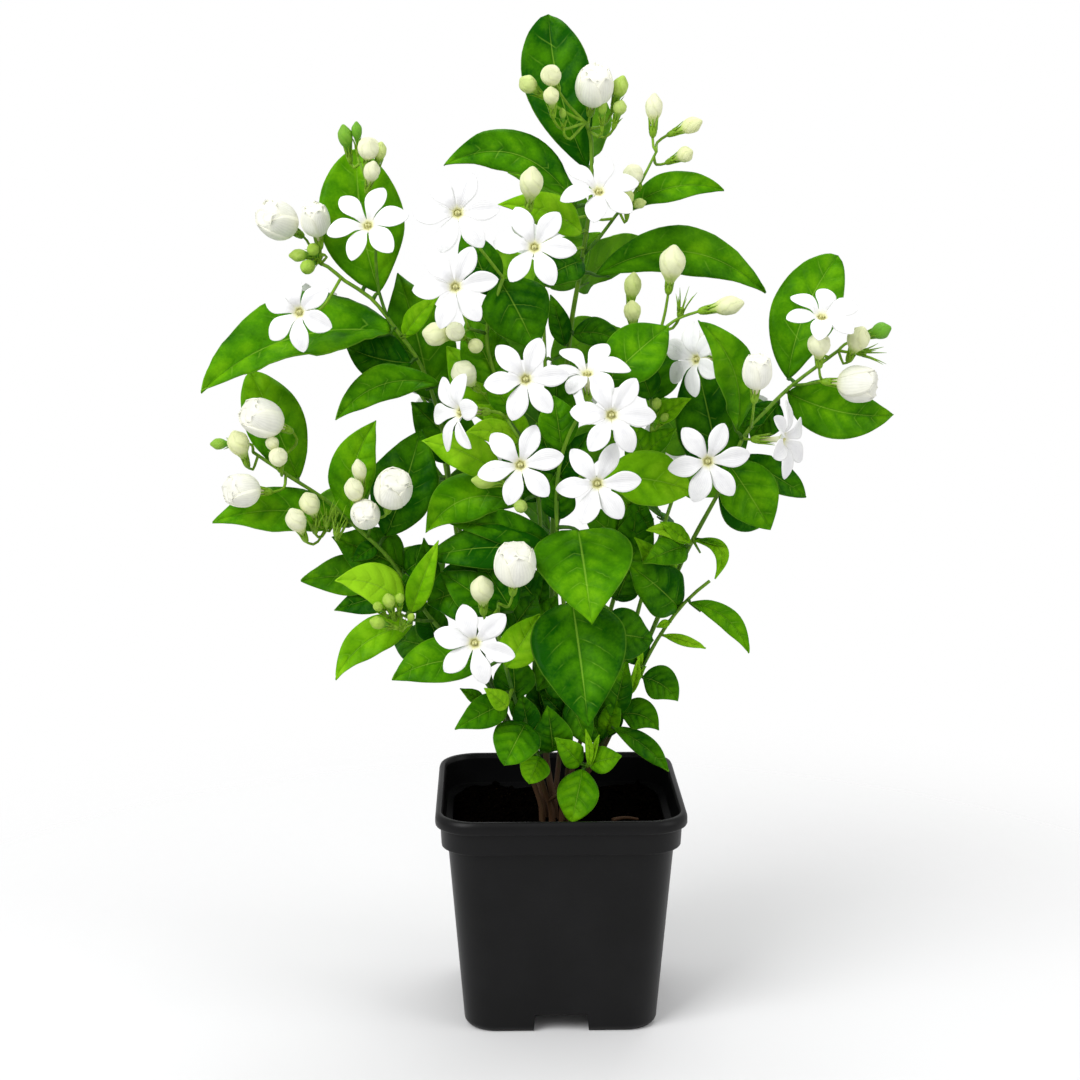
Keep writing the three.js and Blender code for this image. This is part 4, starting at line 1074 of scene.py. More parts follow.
@dataclass(frozen=True)
class LeafFinish:
    """The green of the leaves, from deep to young, with pale veins, a soft gloss and painted
    highlights on the bulges and along the rim.
    """

    deep: Colour = (0.0070, 0.078, 0.0008)
    full: Colour = (0.056, 0.220, 0.0010)
    fresh: Colour = (0.150, 0.400, 0.0030)
    young: Colour = (0.270, 0.560, 0.0120)
    vein: Colour = (0.310, 0.570, 0.0500)
    matte: Colour = (0.090, 0.240, 0.0200)
    midrib: float = 0.42
    side_veins: float = 0.24
    # How strongly the painted highlight along the rim shows, in the vein colour
    rim: float = 0.2
    gloss: float = 0.026
    underside_gloss: float = 0.016
    underside: bool = False

    def material(self) -> bpy.types.Material:
        """Mixes the finish.

        Returns:
            The material.
        """
        shop = Shader("leaf_underside" if self.underside else "leaf")
        across = abs(shop.layer("across"))
        along = shop.layer("along")
        vein = shop.layer("vein")
        tone = shop.layer("tone")
        # The patches vary the green at random and also stand in for soft gloss highlights, as
        # painted light
        patches = shop.noise(11, 3)
        grain = shop.noise(1.0, 3)
        between = vein.to_and_fro(0.5)
        # Painted light: the crowns of the bulges between the side veins are brighter
        swell = (between * 2).step(0.0, 0.9) * (1 - across) * across.step(0.0, 0.2)
        lit = tone + (patches - 0.5) * 0.9 + (along - 0.45) * 0.14 + swell * 0.2
        lit = lit + (grain - 0.5) * 0.22
        stops = [(0.04, self.deep), (0.36, self.full), (0.68, self.fresh), (0.98, self.young)]
        green = shop.ramp(lit, stops)
        midrib = across.step(0.034, 0.008) * (1.12 - along).step(0.0, 0.5)
        sides = between.step(0.05, 0.008) * (1 - across).step(0.05, 0.75)
        sides = sides * shop.noise(6, 1).step(0.42, 0.62)
        # Painted highlight: a pale line along the rim, as if it caught the light
        edge = across.step(0.962, 0.99)
        lines = midrib * self.midrib + sides * self.side_veins + edge * self.rim
        base = shop.blend(lines, green, self.vein)
        if self.underside:
            base = shop.blend(0.35 + lines * 0.3, base, self.matte)
        relief = (1 - between.step(0.16, 0.0) * (1 - across) * 0.5) + grain * 0.3 - midrib * 0.5
        rough = 0.42 + (patches - 0.5) * 0.3 + (0.2 if self.underside else 0)
        gloss = self.underside_gloss if self.underside else self.gloss
        return shop.finish(Base_Color=base, Roughness=rough, Specular_IOR_Level=gloss,
                           Normal=shop.bump(relief, 0.32, 0.9))


@dataclass(frozen=True)
class ShootFinish:
    """Bark that turns to green shoots, and the paler green of stalks and calyxes."""

    bark: Colour = (0.060, 0.027, 0.010)
    brown_green: Colour = (0.024, 0.055, 0.005)
    green: Colour = (0.036, 0.130, 0.003)
    pale: Colour = (0.260, 0.480, 0.020)
    gloss: float = 0.25

    def material(self) -> bpy.types.Material:
        """Mixes the finish.

        Returns:
            The material.
        """
        shop = Shader("shoot")
        tone = shop.layer("tone")
        fibres = shop.noise(1.3, 4, (1, 1, 6))
        lit = tone + (fibres - 0.5) * 0.3
        stops = [(0.08, self.bark), (0.32, self.brown_green), (0.6, self.green), (0.92, self.pale)]
        rough = 0.75 - tone * 0.3
        return shop.finish(Base_Color=shop.ramp(lit, stops), Roughness=rough,
                           Specular_IOR_Level=self.gloss,
                           Normal=shop.bump(fibres, 0.25, 0.6))


@dataclass(frozen=True)
class PetalFinish:
    """White petals that turn to yellow green at the throat and down the tube.

    The painted shade darkens the hollow between a petal's edges, where shade would fall.
    """

    name: str
    white: Colour
    cream: Colour
    lime: Colour
    green: Colour
    roughness: float
    gloss: float = 0.25
    painted_shade: Colour = (0.80, 0.80, 0.83)

    def material(self) -> bpy.types.Material:
        """Mixes the finish.

        Returns:
            The material.
        """
        shop = Shader(self.name)
        tone = shop.layer("tone")
        across = shop.layer("across")
        along = shop.layer("along")
        threads = (across * 34 + along * 4 + shop.noise(3, 1) * 5).sine()
        mottle = shop.noise(2.4, 2)
        lit = tone + (mottle - 0.5) * 0.07
        stops = [(0.02, self.white), (0.3, self.cream), (0.6, self.lime), (0.95, self.green)]
        relief = threads * 0.3 + mottle
        # Painted shade: the middle of each petal is greyed in soft streaks
        hollow_shade = (1 - across * across) * (0.5 + threads * 0.16 + (mottle - 0.5) * 0.9)
        paint = shop.blend(hollow_shade, shop.ramp(lit, stops), self.painted_shade, "MULTIPLY")
        return shop.finish(Base_Color=paint, Roughness=self.roughness,
                           Specular_IOR_Level=self.gloss,
                           Normal=shop.bump(relief, 0.12, 0.5))


@dataclass(frozen=True)
class PlasticFinish:
    """Black satin plastic with a faint moulded grain."""

    black: Colour = (0.0034, 0.0034, 0.0036)
    worn: Colour = (0.0056, 0.0056, 0.0060)
    name: str = "pot_plastic"
    gloss: float = 0.17

    def material(self) -> bpy.types.Material:
        """Mixes the finish.

        Returns:
            The material.
        """
        shop = Shader(self.name)
        clouds = shop.noise(26, 3)
        grain = shop.noise(0.55, 2)
        tint = shop.blend(clouds.step(0.35, 0.75), self.black, self.worn)
        rough = 0.4 + (clouds - 0.5) * 0.16 + (grain - 0.5) * 0.08
        return shop.finish(Base_Color=tint, Roughness=rough, Specular_IOR_Level=self.gloss,
                           Normal=shop.bump(grain, 0.05, 0.5))


@dataclass(frozen=True)
class PeatFinish:
    """Near black crumbly peat with a few brown fibres."""

    black: Colour = (0.0004, 0.0003, 0.0003)
    brown: Colour = (0.0020, 0.0013, 0.0008)
    straw: Colour = (0.022, 0.013, 0.006)

    def material(self) -> bpy.types.Material:
        """Mixes the finish.

        Returns:
            The material.
        """
        shop = Shader("peat")
        crumbs = shop.noise(1.5, 5)
        specks = shop.noise(0.8, 2).step(0.66, 0.74)
        soil = shop.blend(crumbs.step(0.42, 0.68), self.black, self.brown)
        soil = shop.blend(specks * 0.7, soil, self.straw)
        return shop.finish(Base_Color=soil, Roughness=0.95, Specular_IOR_Level=0,
                           Normal=shop.bump(crumbs, 1.2))


@dataclass
class Wardrobe:
    """Every finish of the plant, mixed once."""

    leaf: bpy.types.Material
    underside: bpy.types.Material
    shoot: bpy.types.Material
    petal: bpy.types.Material
    bud: bpy.types.Material
    plastic: bpy.types.Material
    dull_plastic: bpy.types.Material
    peat: bpy.types.Material

    @classmethod
    def mixed(cls) -> "Wardrobe":
        """Mixes all the finishes.

        Returns:
            The wardrobe.
        """
        petal = PetalFinish("petal", (0.92, 0.92, 0.915), (0.88, 0.88, 0.60), (0.60, 0.58, 0.13),
                            (0.26, 0.36, 0.05), 0.55)
        bud = PetalFinish("bud_skin", (0.93, 0.93, 0.72), (0.80, 0.86, 0.38), (0.42, 0.64, 0.07),
                          (0.15, 0.42, 0.02), 0.45)
        return cls(
            leaf=LeafFinish().material(),
            underside=LeafFinish(underside=True).material(),
            shoot=ShootFinish().material(),
            petal=petal.material(),
            bud=bud.material(),
            plastic=PlasticFinish().material(),
            dull_plastic=PlasticFinish(name="pot_plastic_inside", gloss=0.03).material(),
            peat=PeatFinish().material(),
        )


@dataclass
class Pot:
    """The square pot: walls with a rolled rim and a band under it, and feet with notches.

    The notches slant a little and end a skin short of the floor. The plan is drawn with arc steps
    round each corner and flat steps along each side.
    """

    width: float = 90
    corner: float = 14
    height: float = 82
    rim: float = 5
    collar: float = 8
    collar_width: float = 86.4
    shoulder_width: float = 81
    foot_width: float = 70
    wall: float = 1.3
    foot: float = 6.8
    floor: float = 1.5
    notch: float = 20
    notch_slant: float = 1.2
    notch_skin: float = 0.02
    drain: float = 8
    drain_spread: float = 17
    drain_sides: int = 28
    edge: float = 0.3
    edge_angle: float = 50
    arc_steps: int = 9
    flat_steps: tuple[float, ...] = (0.04, 0.2, 0.5, 0.8, 0.96)

    def inner_half_width(self, height: float) -> float:
        """Half the width of the pot's inside at a height.

        Args:
            height: the height above the ground.

        Returns:
            The half width.
        """
        collar_foot = self.height - self.rim - self.collar
        share = min(max((height - self.foot) / (collar_foot - self.foot), 0), 1)
        inside = mix(self.foot_width / 2, self.shoulder_width / 2, share) - self.wall
        return self.collar_width / 2 - self.wall if height > collar_foot else inside

    def outline(self, half_width: float) -> list[Vector]:
        """The rounded square of a given half width, one corner after another.

        Args:
            half_width: half the width of the square.

        Returns:
            The points of the plan.
        """
        corner = half_width * self.corner / (self.width / 2)
        points = []
        for quarter in range(4):
            turn = Matrix.Rotation(quarter * math.pi / 2, 3, "Z")
            middle = Vector((half_width - corner, half_width - corner, 0))
            for i in range(self.arc_steps + 1):
                angle = i / self.arc_steps * math.pi / 2
                spoke = Vector((math.cos(angle), math.sin(angle), 0)) * corner
                points.append(turn @ (middle + spoke))
            start = turn @ (middle + Vector((0, corner, 0)))
            end = turn @ Vector((-middle.x, half_width, 0))
            points += [start.lerp(end, share) for share in self.flat_steps]
        return points

    def profile(self) -> list[tuple[float, float]]:
        """Half widths and heights from the middle of the underside, round to the floor.

        Returns:
            The half widths and heights.
        """
        rim, collar = self.width / 2, self.collar_width / 2
        shoulder, foot = self.shoulder_width / 2, self.foot_width / 2
        collar_top = self.height - self.rim
        collar_foot = collar_top - self.collar
        floor_top = self.foot + self.floor
        inside = self.inner_half_width
        # Each corner has a half width, a height and how far from it the rounding starts
        corners = [
            (foot - 5, self.foot, 0.3), (foot - 4, 0, 0.4),
            (foot - 1.5, 0, 0.3), (foot, 1.6, 1.2),
            (shoulder, collar_foot, 0.35), (collar - 0.4, collar_foot + 0.4, 0.5),
            (collar, collar_top, 0.35), (rim, collar_top + 0.4, 0.9),
            (rim, self.height - 1.4, 0.9), (rim - 0.9, self.height, 0.5),
            (rim - 2.1, self.height, 0.5), (inside(collar_top) + 0.4, self.height - 1.8, 0.8),
            (inside(collar_top), collar_foot + 1.4, 0.4), (inside(collar_foot), collar_foot, 0.4),
            (inside(floor_top), floor_top, 0.8),
        ]
        points = [(AXIS, self.foot)]
        ends = [(0.0, self.foot, 0.0), *corners, (0.0, floor_top, 0.0)]
        for before, (x, z, radius), after in zip(ends, corners, ends[2:]):
            here = Vector((x, z))
            back = (Vector(before[:2]) - here).normalized() * radius
            on = (Vector(after[:2]) - here).normalized() * radius
            for share in (0, 0.25, 0.5, 0.75, 1):
                curve = (here + back).lerp(here, share).lerp(here.lerp(here + on, share), share)
                points.append((curve.x, curve.y))
        return [*points, (AXIS, floor_top)]

    def lathe(self, profile: Sequence[tuple[float, float]]) -> Clay:
        """A closed solid with a rounded square plan, whose inner faces take the second finish.

        Args:
            profile: half widths and heights, from one end on the axis to the other.

        Returns:
            The solid.
        """
        clay = Clay()
        rows = len(profile) - 1
        around = len(self.outline(1))
        outlines = [self.outline(half_width) for half_width, _ in profile]
        slack = 0.5
        floor = self.foot + self.floor - slack

        def where(across: float, along: float) -> tuple[Vector, Values]:
            """The place of a corner, with a tone of 1 on the inside."""
            column = round((across + 1) / 2 * around) % around
            row = round(along * rows)
            point = outlines[row][column].copy()
            half_width, point.z = profile[row]
            inside = point.z > floor and half_width < self.inner_half_width(point.z) + slack
            return point, {"tone": float(inside)}

        clay.sheet(around, rows, where)
        clay.merge(2 * AXIS)
        clay.tidy_normals()
        tone = clay.layers["tone"]
        for face in clay.mesh.faces:
            face.material_index = int(all(vert[tone] for vert in face.verts))
        return clay

    def build(self, wardrobe: Wardrobe) -> None:
        """Makes the pot, cuts its notches and drain holes, and sets it in the frame.

        Args:
            wardrobe: the finishes.
        """
        piece = Piece("pot_shell", self.lathe(self.profile()), "plastic", ["pot"],
                      [wardrobe.plastic, wardrobe.dull_plastic])
        for turned in (0, math.pi / 2):
            cutter = Clay()
            bmesh.ops.create_cube(cutter.mesh, size=2)
            for vert in cutter.mesh.verts:
                slant = self.notch_slant if vert.co.z > 0 else -self.notch_slant
                vert.co.x *= self.notch / 2 - slant / 2
                vert.co.y *= self.width
                vert.co.z *= self.foot - self.notch_skin
            bmesh.ops.rotate(cutter.mesh, verts=cutter.mesh.verts, cent=(0, 0, 0),
                             matrix=Matrix.Rotation(turned, 3, "Z"))
            piece.cut(cutter)
        spread = self.drain_spread
        for x, y in [(0, 0), (spread, spread), (-spread, spread), (spread, -spread),
                     (-spread, -spread)]:
            cutter = Clay()
            bmesh.ops.create_cone(cutter.mesh, cap_ends=True, segments=self.drain_sides,
                                  radius1=self.drain / 2, radius2=self.drain / 2,
                                  depth=4 * self.foot, matrix=Matrix.Translation((x, y, 0)))
            piece.cut(cutter)
        self.soften(piece)

    def soften(self, piece: Piece) -> None:
        """Keeps the cut edges crisp and the moulded ones soft.

        Args:
            piece: the pot's piece.
        """
        bevel = piece.body.modifiers.new("edges", "BEVEL")
        bevel.width = self.edge * MM
        bevel.segments = 2
        bevel.limit_method = "ANGLE"
        bevel.angle_limit = math.radians(self.edge_angle)
        bevel.use_clamp_overlap = True


@dataclass
class Peat:
    """The peat in the pot, with crumbs and a twig on it.

    The crumbs stay within a round whose radius is the spread times half the pot's width.
    """

    pot: Pot
    gap: float = 0.4
    relief: float = 1.6
    crumbs: int = 900
    spread: float = 1.28
    rings: int = 26
    twig: tuple[Spot, ...] = ((19.5, -8.3, 71), (22, -7.3, 71.3), (25, -7, 71.5), (29.2, -8, 71.2))

    def height_at(self, x: float, y: float) -> float:
        """The height of the peat's surface.

        Args:
            x: the place across.
            y: the place from front to back.

        Returns:
            The height above the ground.
        """
        coarse = math.sin(x * 0.21 + 1.3) * math.cos(y * 0.17 - 0.4)
        lumps = noise.fractal(Vector((x, y, 0)) * 0.16, 0.8, 2.1, 4)
        return SOIL_TOP + self.relief * (0.6 * coarse + 0.8 * lumps)

    def build(self, wardrobe: Wardrobe) -> None:
        """Makes the block of peat, its crumbs and the twig.

        Args:
            wardrobe: the finishes.
        """
        half = self.pot.inner_half_width(SOIL_TOP - 3) - self.gap
        bottom = self.pot.foot + self.pot.floor + self.gap
        foot = self.pot.inner_half_width(bottom) - self.gap
        top = [(max(half * i / self.rings, AXIS), SOIL_TOP) for i in range(self.rings, -1, -1)]
        clay = self.pot.lathe([(AXIS, bottom), (foot, bottom), *top])
        for vert in clay.mesh.verts:
            if vert.co.z > SOIL_TOP - 1:
                vert.co.z = self.height_at(vert.co.x, vert.co.y)
        Piece("soil_block", clay, "peat", ["soil"], [wardrobe.peat])

        rng = random.Random(SEED)
        crumbs = Clay()
        for _ in range(self.crumbs):
            x, y = rng.uniform(-half, half) * 0.98, rng.uniform(-half, half) * 0.98
            if math.hypot(x, y) > self.spread * half:
                continue
            radius = 0.3 + 1.1 * rng.random() ** 3
            at = Vector((x, y, self.height_at(x, y) + radius * 0.3))
            crumbs.lump(at, radius, rng, rng.random())
        Piece("soil_crumbs", crumbs, "peat", [], [wardrobe.peat])

        twig = Clay()
        path = smooth_path([Vector(spot) for spot in self.twig], 1)
        twig.rod(path, taper(0.85, 0.45, len(path)), 7, 0.05)
        Piece("soil_twig_bark", twig, "bark", ["soil_twig"], [wardrobe.shoot])


@dataclass
class Sprig:
    """One leafy stem with everything that grows on it.

    The wood is slimmer than the frame's. It is brown up to the first of two heights and green
    from the second.
    """

    plan: Stem
    number: int
    leaf_columns: int = 12
    leaf_rows: int = 26
    leaf_thickness: float = 0.45
    slim: float = 0.78
    knots: float = 0.1
    stem_step: float = 5
    bark_ends: tuple[float, float] = (74, 150)
    woody: float = 0.05
    sappy: float = 0.62
    teeth: int = 7

    def __post_init__(self) -> None:
        """Works out the paths of the branches, the first of which stands upright in the soil."""
        self.rng = random.Random(SEED * 100 + self.number)
        x, y = self.plan.root
        main, *others = self.plan.branches
        trunk = [Vector((x, y, SOIL_TOP - ROOT_DEPTH)), Vector((x, y, SOIL_TOP + 5))]
        trunk += [place(spot) for spot in main.places]
        self.paths = [trunk]
        for branch in others:
            start, *rest = [place(spot) for spot in branch.places]
            self.paths.append([nearest(start, [trunk]), *rest])
        self.curves = [smooth_path(path, self.stem_step) for path in self.paths]
        self.shoots = Clay()

    def build(self, wardrobe: Wardrobe) -> None:
        """Makes the leaves, the wood and green shoots, the small buds and the flowers.

        Args:
            wardrobe: the finishes.
        """
        name = self.plan.name
        for branch, curve in zip(self.plan.branches, self.curves):
            self.wood(branch, curve)
        leaves = Clay()
        for leaf in [*self.plan.leaves, *self.plan.small]:
            self.blade(leaves, leaf)
        buds = Clay()
        for bud in self.plan.buds:
            BudShape(bud, self.rng).shape(buds)
        for flower in [*self.plan.open, *self.plan.half, *self.plan.free]:
            self.calyx(flower, 1.5, 7)
        for bud in self.plan.buds:
            self.calyx(bud, min(1.3, bud.width / 4.5), 0.7 * bud.length)
        for bud in self.plan.bare:
            self.calyx(bud, 1.3, 8, 4.2)
        finishes = [wardrobe.leaf, wardrobe.underside]
        blades = Piece(f"{name}_leaves", leaves, "foliage", [name], finishes, closed=False)
        blades.thicken(self.leaf_thickness)
        Piece(f"{name}_shoots", self.shoots, "foliage", [name], [wardrobe.shoot])
        if self.plan.buds:
            Piece(f"{name}_small_buds", buds, "buds", [name], [wardrobe.bud])
        for bloom in self.plan.open:
            FlowerShape(bloom, self.rng).build(wardrobe)
        for bud in self.plan.half:
            HalfOpenShape(bud, self.rng).build(wardrobe)
        for bud in self.plan.free:
            free = Clay()
            BudShape(bud, self.rng).shape(free)
            Piece(f"{bud.name}_skin", free, "buds", [bud.name], [wardrobe.bud])

    def wood(self, branch: Branch, curve: Sequence[Vector]) -> None:
        """Adds a branch, brown low down and green towards its tip.

        Args:
            branch: the branch.
            curve: its middle line.
        """
        radii = [radius * (self.slim + self.knots * noise.noise(point * 0.35)) for point, radius
                 in zip(curve, taper(branch.root_radius, branch.tip_radius, len(curve)))]

        def tone(share: float) -> float:
            """The tone at a share of the branch."""
            height = curve[round(share * (len(curve) - 1))].z
            return mix(self.woody, self.sappy, step_between(*self.bark_ends, height)) + share * 0.12

        self.shoots.rod(curve, radii, 8, tone)

    def blade(self, clay: Clay, leaf: Leaf) -> None:
        """Adds a leaf blade and its stalk.

        Args:
            clay: the piece in the making.
            leaf: the leaf.
        """
        rng = self.rng
        start = place(leaf.base)
        span = place(leaf.tip) - start
        length = span.length
        along_way = span.normalized()
        outward = Vector((0, 0.9 if leaf.tip[2] > REAR else -0.9, 0.42))
        face = (outward - along_way * outward.dot(along_way)).normalized()
        face.rotate(Matrix.Rotation(math.radians(leaf.turn), 3, along_way))
        side = along_way.cross(face)
        rise = math.sin(math.radians(leaf.fold))
        # The middle of the green is the leaf's age, and for some leaves painted shade
        tone = leaf.age.value + rng.uniform(-0.07, 0.07)
        veins = round(mix(4.5, 6.5, min(length / 70, 1)))
        waves = rng.uniform(1.6, 2.6)
        shift = rng.uniform(0, math.tau)
        wave_size = 0.02 * length * rng.uniform(0.6, 1.3)
        quilt = rng.uniform(0.8, 1.35) * min(leaf.width / 20, 1.2)
        curl = rng.uniform(0.2, 1) * 0.03 * length

        def where(across: float, even: float) -> tuple[Vector, Values]:
            """The place and values of a corner of the blade."""
            s = mix(even, step_between(0, 1, even), 0.5)
            bend = 4 * s * (1 - s) * length
            half = leaf.width / 2 * blade_width(s, leaf.outline)
            gone = abs(across)
            slant = gone * half * (0.55 + 0.35 * gone) / length
            count = (s - slant) * veins + (0.3 if across > 0 else 0) + 0.15
            swell = 0.5 - 0.5 * math.cos(math.tau * count)
            lift = gone * half * rise * (1 - 0.35 * gone)
            lift += quilt * swell * 4 * gone * (1 - gone) * min(half / 8, 1)
            dents = noise.noise(Vector((across * half, s * length, shift)) * 0.2)
            lift += quilt * 0.9 * gone * dents
            wave = math.sin(math.tau * waves * s + shift + 1.7 * (across > 0))
            lift += wave_size * gone**2 * wave
            lift -= 0.4 * math.exp(-((across * half / 0.7) ** 2)) + curl * s**3
            out = (side - along_way * 4 * (1 - 2 * s) * leaf.bow).normalized()
            spot = start + along_way * (s * length) + side * (bend * leaf.bow)
            spot += face * (bend * leaf.arch + lift) + out * (across * half)
            return spot, {"across": across, "along": s, "vein": count, "tone": tone}

        clay.sheet(self.leaf_columns, self.leaf_rows, where)
        self.petiole(nearest(start, self.curves), start, along_way, face, tone)

    def petiole(self, root: Vector, start: Vector, along_way: Vector, face: Vector,
                tone: float) -> None:
        """Adds a leaf's stalk, which runs on under the blade's midrib.

        Args:
            root: where it leaves the stem.
            start: where the blade starts.
            along_way: the way of the midrib.
            face: the way that the blade faces.
            tone: the blade's tone.
        """
        under = face * -0.45
        ends = [root, root.lerp(start, 0.55) + Vector((0, 0, 0.6)), start + under,
                start + along_way * 5 + under]
        path = smooth_path(ends, 2)
        self.shoots.rod(path, taper(0.8, 0.35, len(path)), 6, mix(0.5, 0.8, tone))

    def calyx(self, flower: Bloom | Bud, mouth: float, tooth: float, widest: float = 1.6) -> None:
        """Adds a flower's calyx of awl shaped teeth, and its stalk down to the stem.

        Args:
            flower: what stands in the calyx.
            mouth: the radius of its cup.
            tooth: the length of its teeth.
            widest: how far the teeth lean out at most.
        """
        ahead = look_direction(flower.compass, flower.elevation)
        pose = stance(flower, flower.back + WAIST)
        cup = [pose @ Vector((0, 0, z)) for z in (-3.2, -2.4, -1.2, 0, 0.9)]
        radii = [STALK, mouth * 0.75, mouth * 0.98, mouth, mouth * 0.8]
        self.shoots.rod(cup, radii, 10, 0.82)
        for i in range(self.teeth):
            angle = math.tau * (i + self.rng.uniform(-0.12, 0.12)) / self.teeth
            size = tooth * self.rng.uniform(0.75, 1.1)
            spread = self.rng.uniform(0.35, 1) * widest
            spoke = Vector((math.cos(angle), math.sin(angle), 0))
            path = []
            for t in (0, 0.35, 0.7, 1):
                out = spoke * (mouth * 0.82 + spread * t**1.4)
                path.append(pose @ (out + Vector((0, 0, size * t - 0.4))))
            self.shoots.rod(path, [0.36, 0.3, 0.2, 0.05], 4, 0.86)
        heel = cup[0]
        root = nearest(heel, self.curves)
        reach = (heel - root).length
        bent = heel - ahead * min(reach * 0.45, 5)
        path = smooth_path([heel + ahead * 0.6, heel, bent.lerp(root, 0.25), root], 2)
        self.shoots.rod(path, taper(STALK, STALK + 0.1, len(path)), 6, 0.8)


@dataclass
class FlowerShape:
    """An open flower: six petals that overlap round a small throat, with a slender tube."""

    plan: Bloom
    rng: random.Random
    petals: int = 6
    petal_width: float = 7.3
    widest: float = 0.55
    throat: float = 1.15
    thickness: float = 0.3

    def build(self, wardrobe: Wardrobe) -> None:
        """Makes the flower.

        Args:
            wardrobe: the finishes.
        """
        self.pose = stance(self.plan)
        clay = Clay()
        for i in range(self.petals):
            self.petal(clay, math.radians(self.plan.spin + i * 360 / self.petals))
        self.heart(clay)
        Piece(f"{self.plan.name}_petals", clay, "petals", [self.plan.name], [wardrobe.petal])

    def petal(self, clay: Clay, angle: float) -> None:
        """Adds one petal, with one edge over its neighbour and the other under the next.

        Args:
            clay: the piece in the making.
            angle: where the petal stands round the throat, in radians.
        """
        rng = self.rng
        angle += math.radians(rng.uniform(-3, 3))
        reach = self.plan.reach * rng.uniform(0.95, 1.02)
        half_width = self.petal_width / 2 * rng.uniform(0.92, 1.04)
        tip_curl = rng.uniform(-1.6, 0.9)
        tilt = math.tan(math.radians(rng.uniform(8, 15)))
        cup = rng.uniform(-0.4, 1.1)
        turn = Matrix.Rotation(angle, 3, "Z")

        def where(across: float, even: float) -> tuple[Vector, Values]:
            """The place and values of a corner of the petal."""
            t = mix(even, step_between(0, 1, even), 0.6)
            half = half_width * self.outline(t)
            out = mix(self.throat, reach, t)
            rise = 1.9 * step_between(0, 0.28, t) - 2.0 + 1.1 * math.sin(math.pi * t)
            rise += tip_curl * t**3 + cup * across**2 * math.sin(math.pi * t) * 0.8
            rise += across * half * tilt * (1 - 0.45 * t) * step_between(0, 0.2, t)
            rise -= 0.28 * math.exp(-((across / 0.16) ** 2)) * math.sin(math.pi * t)
            spot = turn @ Vector((out, across * half, rise))
            tone = 0.5 * (1 - step_between(0.0, 0.13, t)) + 0.03 * (1 - step_between(0.1, 0.5, t))
            return self.pose @ spot, {"across": across, "along": t, "tone": tone}

        clay.sheet(10, 14, where, self.thickness)

    def outline(self, t: float) -> float:
        """The width of a petal at a share of its length, as a share of its greatest width.

        Args:
            t: the share of the length.

        Returns:
            The share of the width.
        """
        if t < self.widest:
            return 0.3 + 0.7 * math.sin(math.pi / 2 * t / self.widest) ** 2
        return max(1 - ((t - self.widest) / (1 - self.widest)) ** 2, 0) ** 0.7

    def heart(self, clay: Clay) -> None:
        """Adds the tube with the two small lobes in its mouth.

        Args:
            clay: the piece in the making.
        """
        back = self.plan.back
        depths = [-back - TAIL, -back * 0.75, -back * 0.5, -3.4, -2.4, -1.9]
        radii = [0.85, 0.95, 1.0, 1.1, 1.3, 1.25]
        places = [self.pose @ Vector((0, 0, depth)) for depth in depths]
        clay.rod(places, radii, 10, lambda share: mix(0.5, 0.16, share) if share < 0.9 else 0.5)
        for side in (-0.42, 0.42):
            middle = Vector((side, 0.1 * side, -1.15))
            clay.ball(8, 6, lambda co, at=middle: (
                self.pose @ (at + Vector((co.x * 0.42, co.y * 0.55, co.z * 0.8))),
                {"tone": 0.48}))


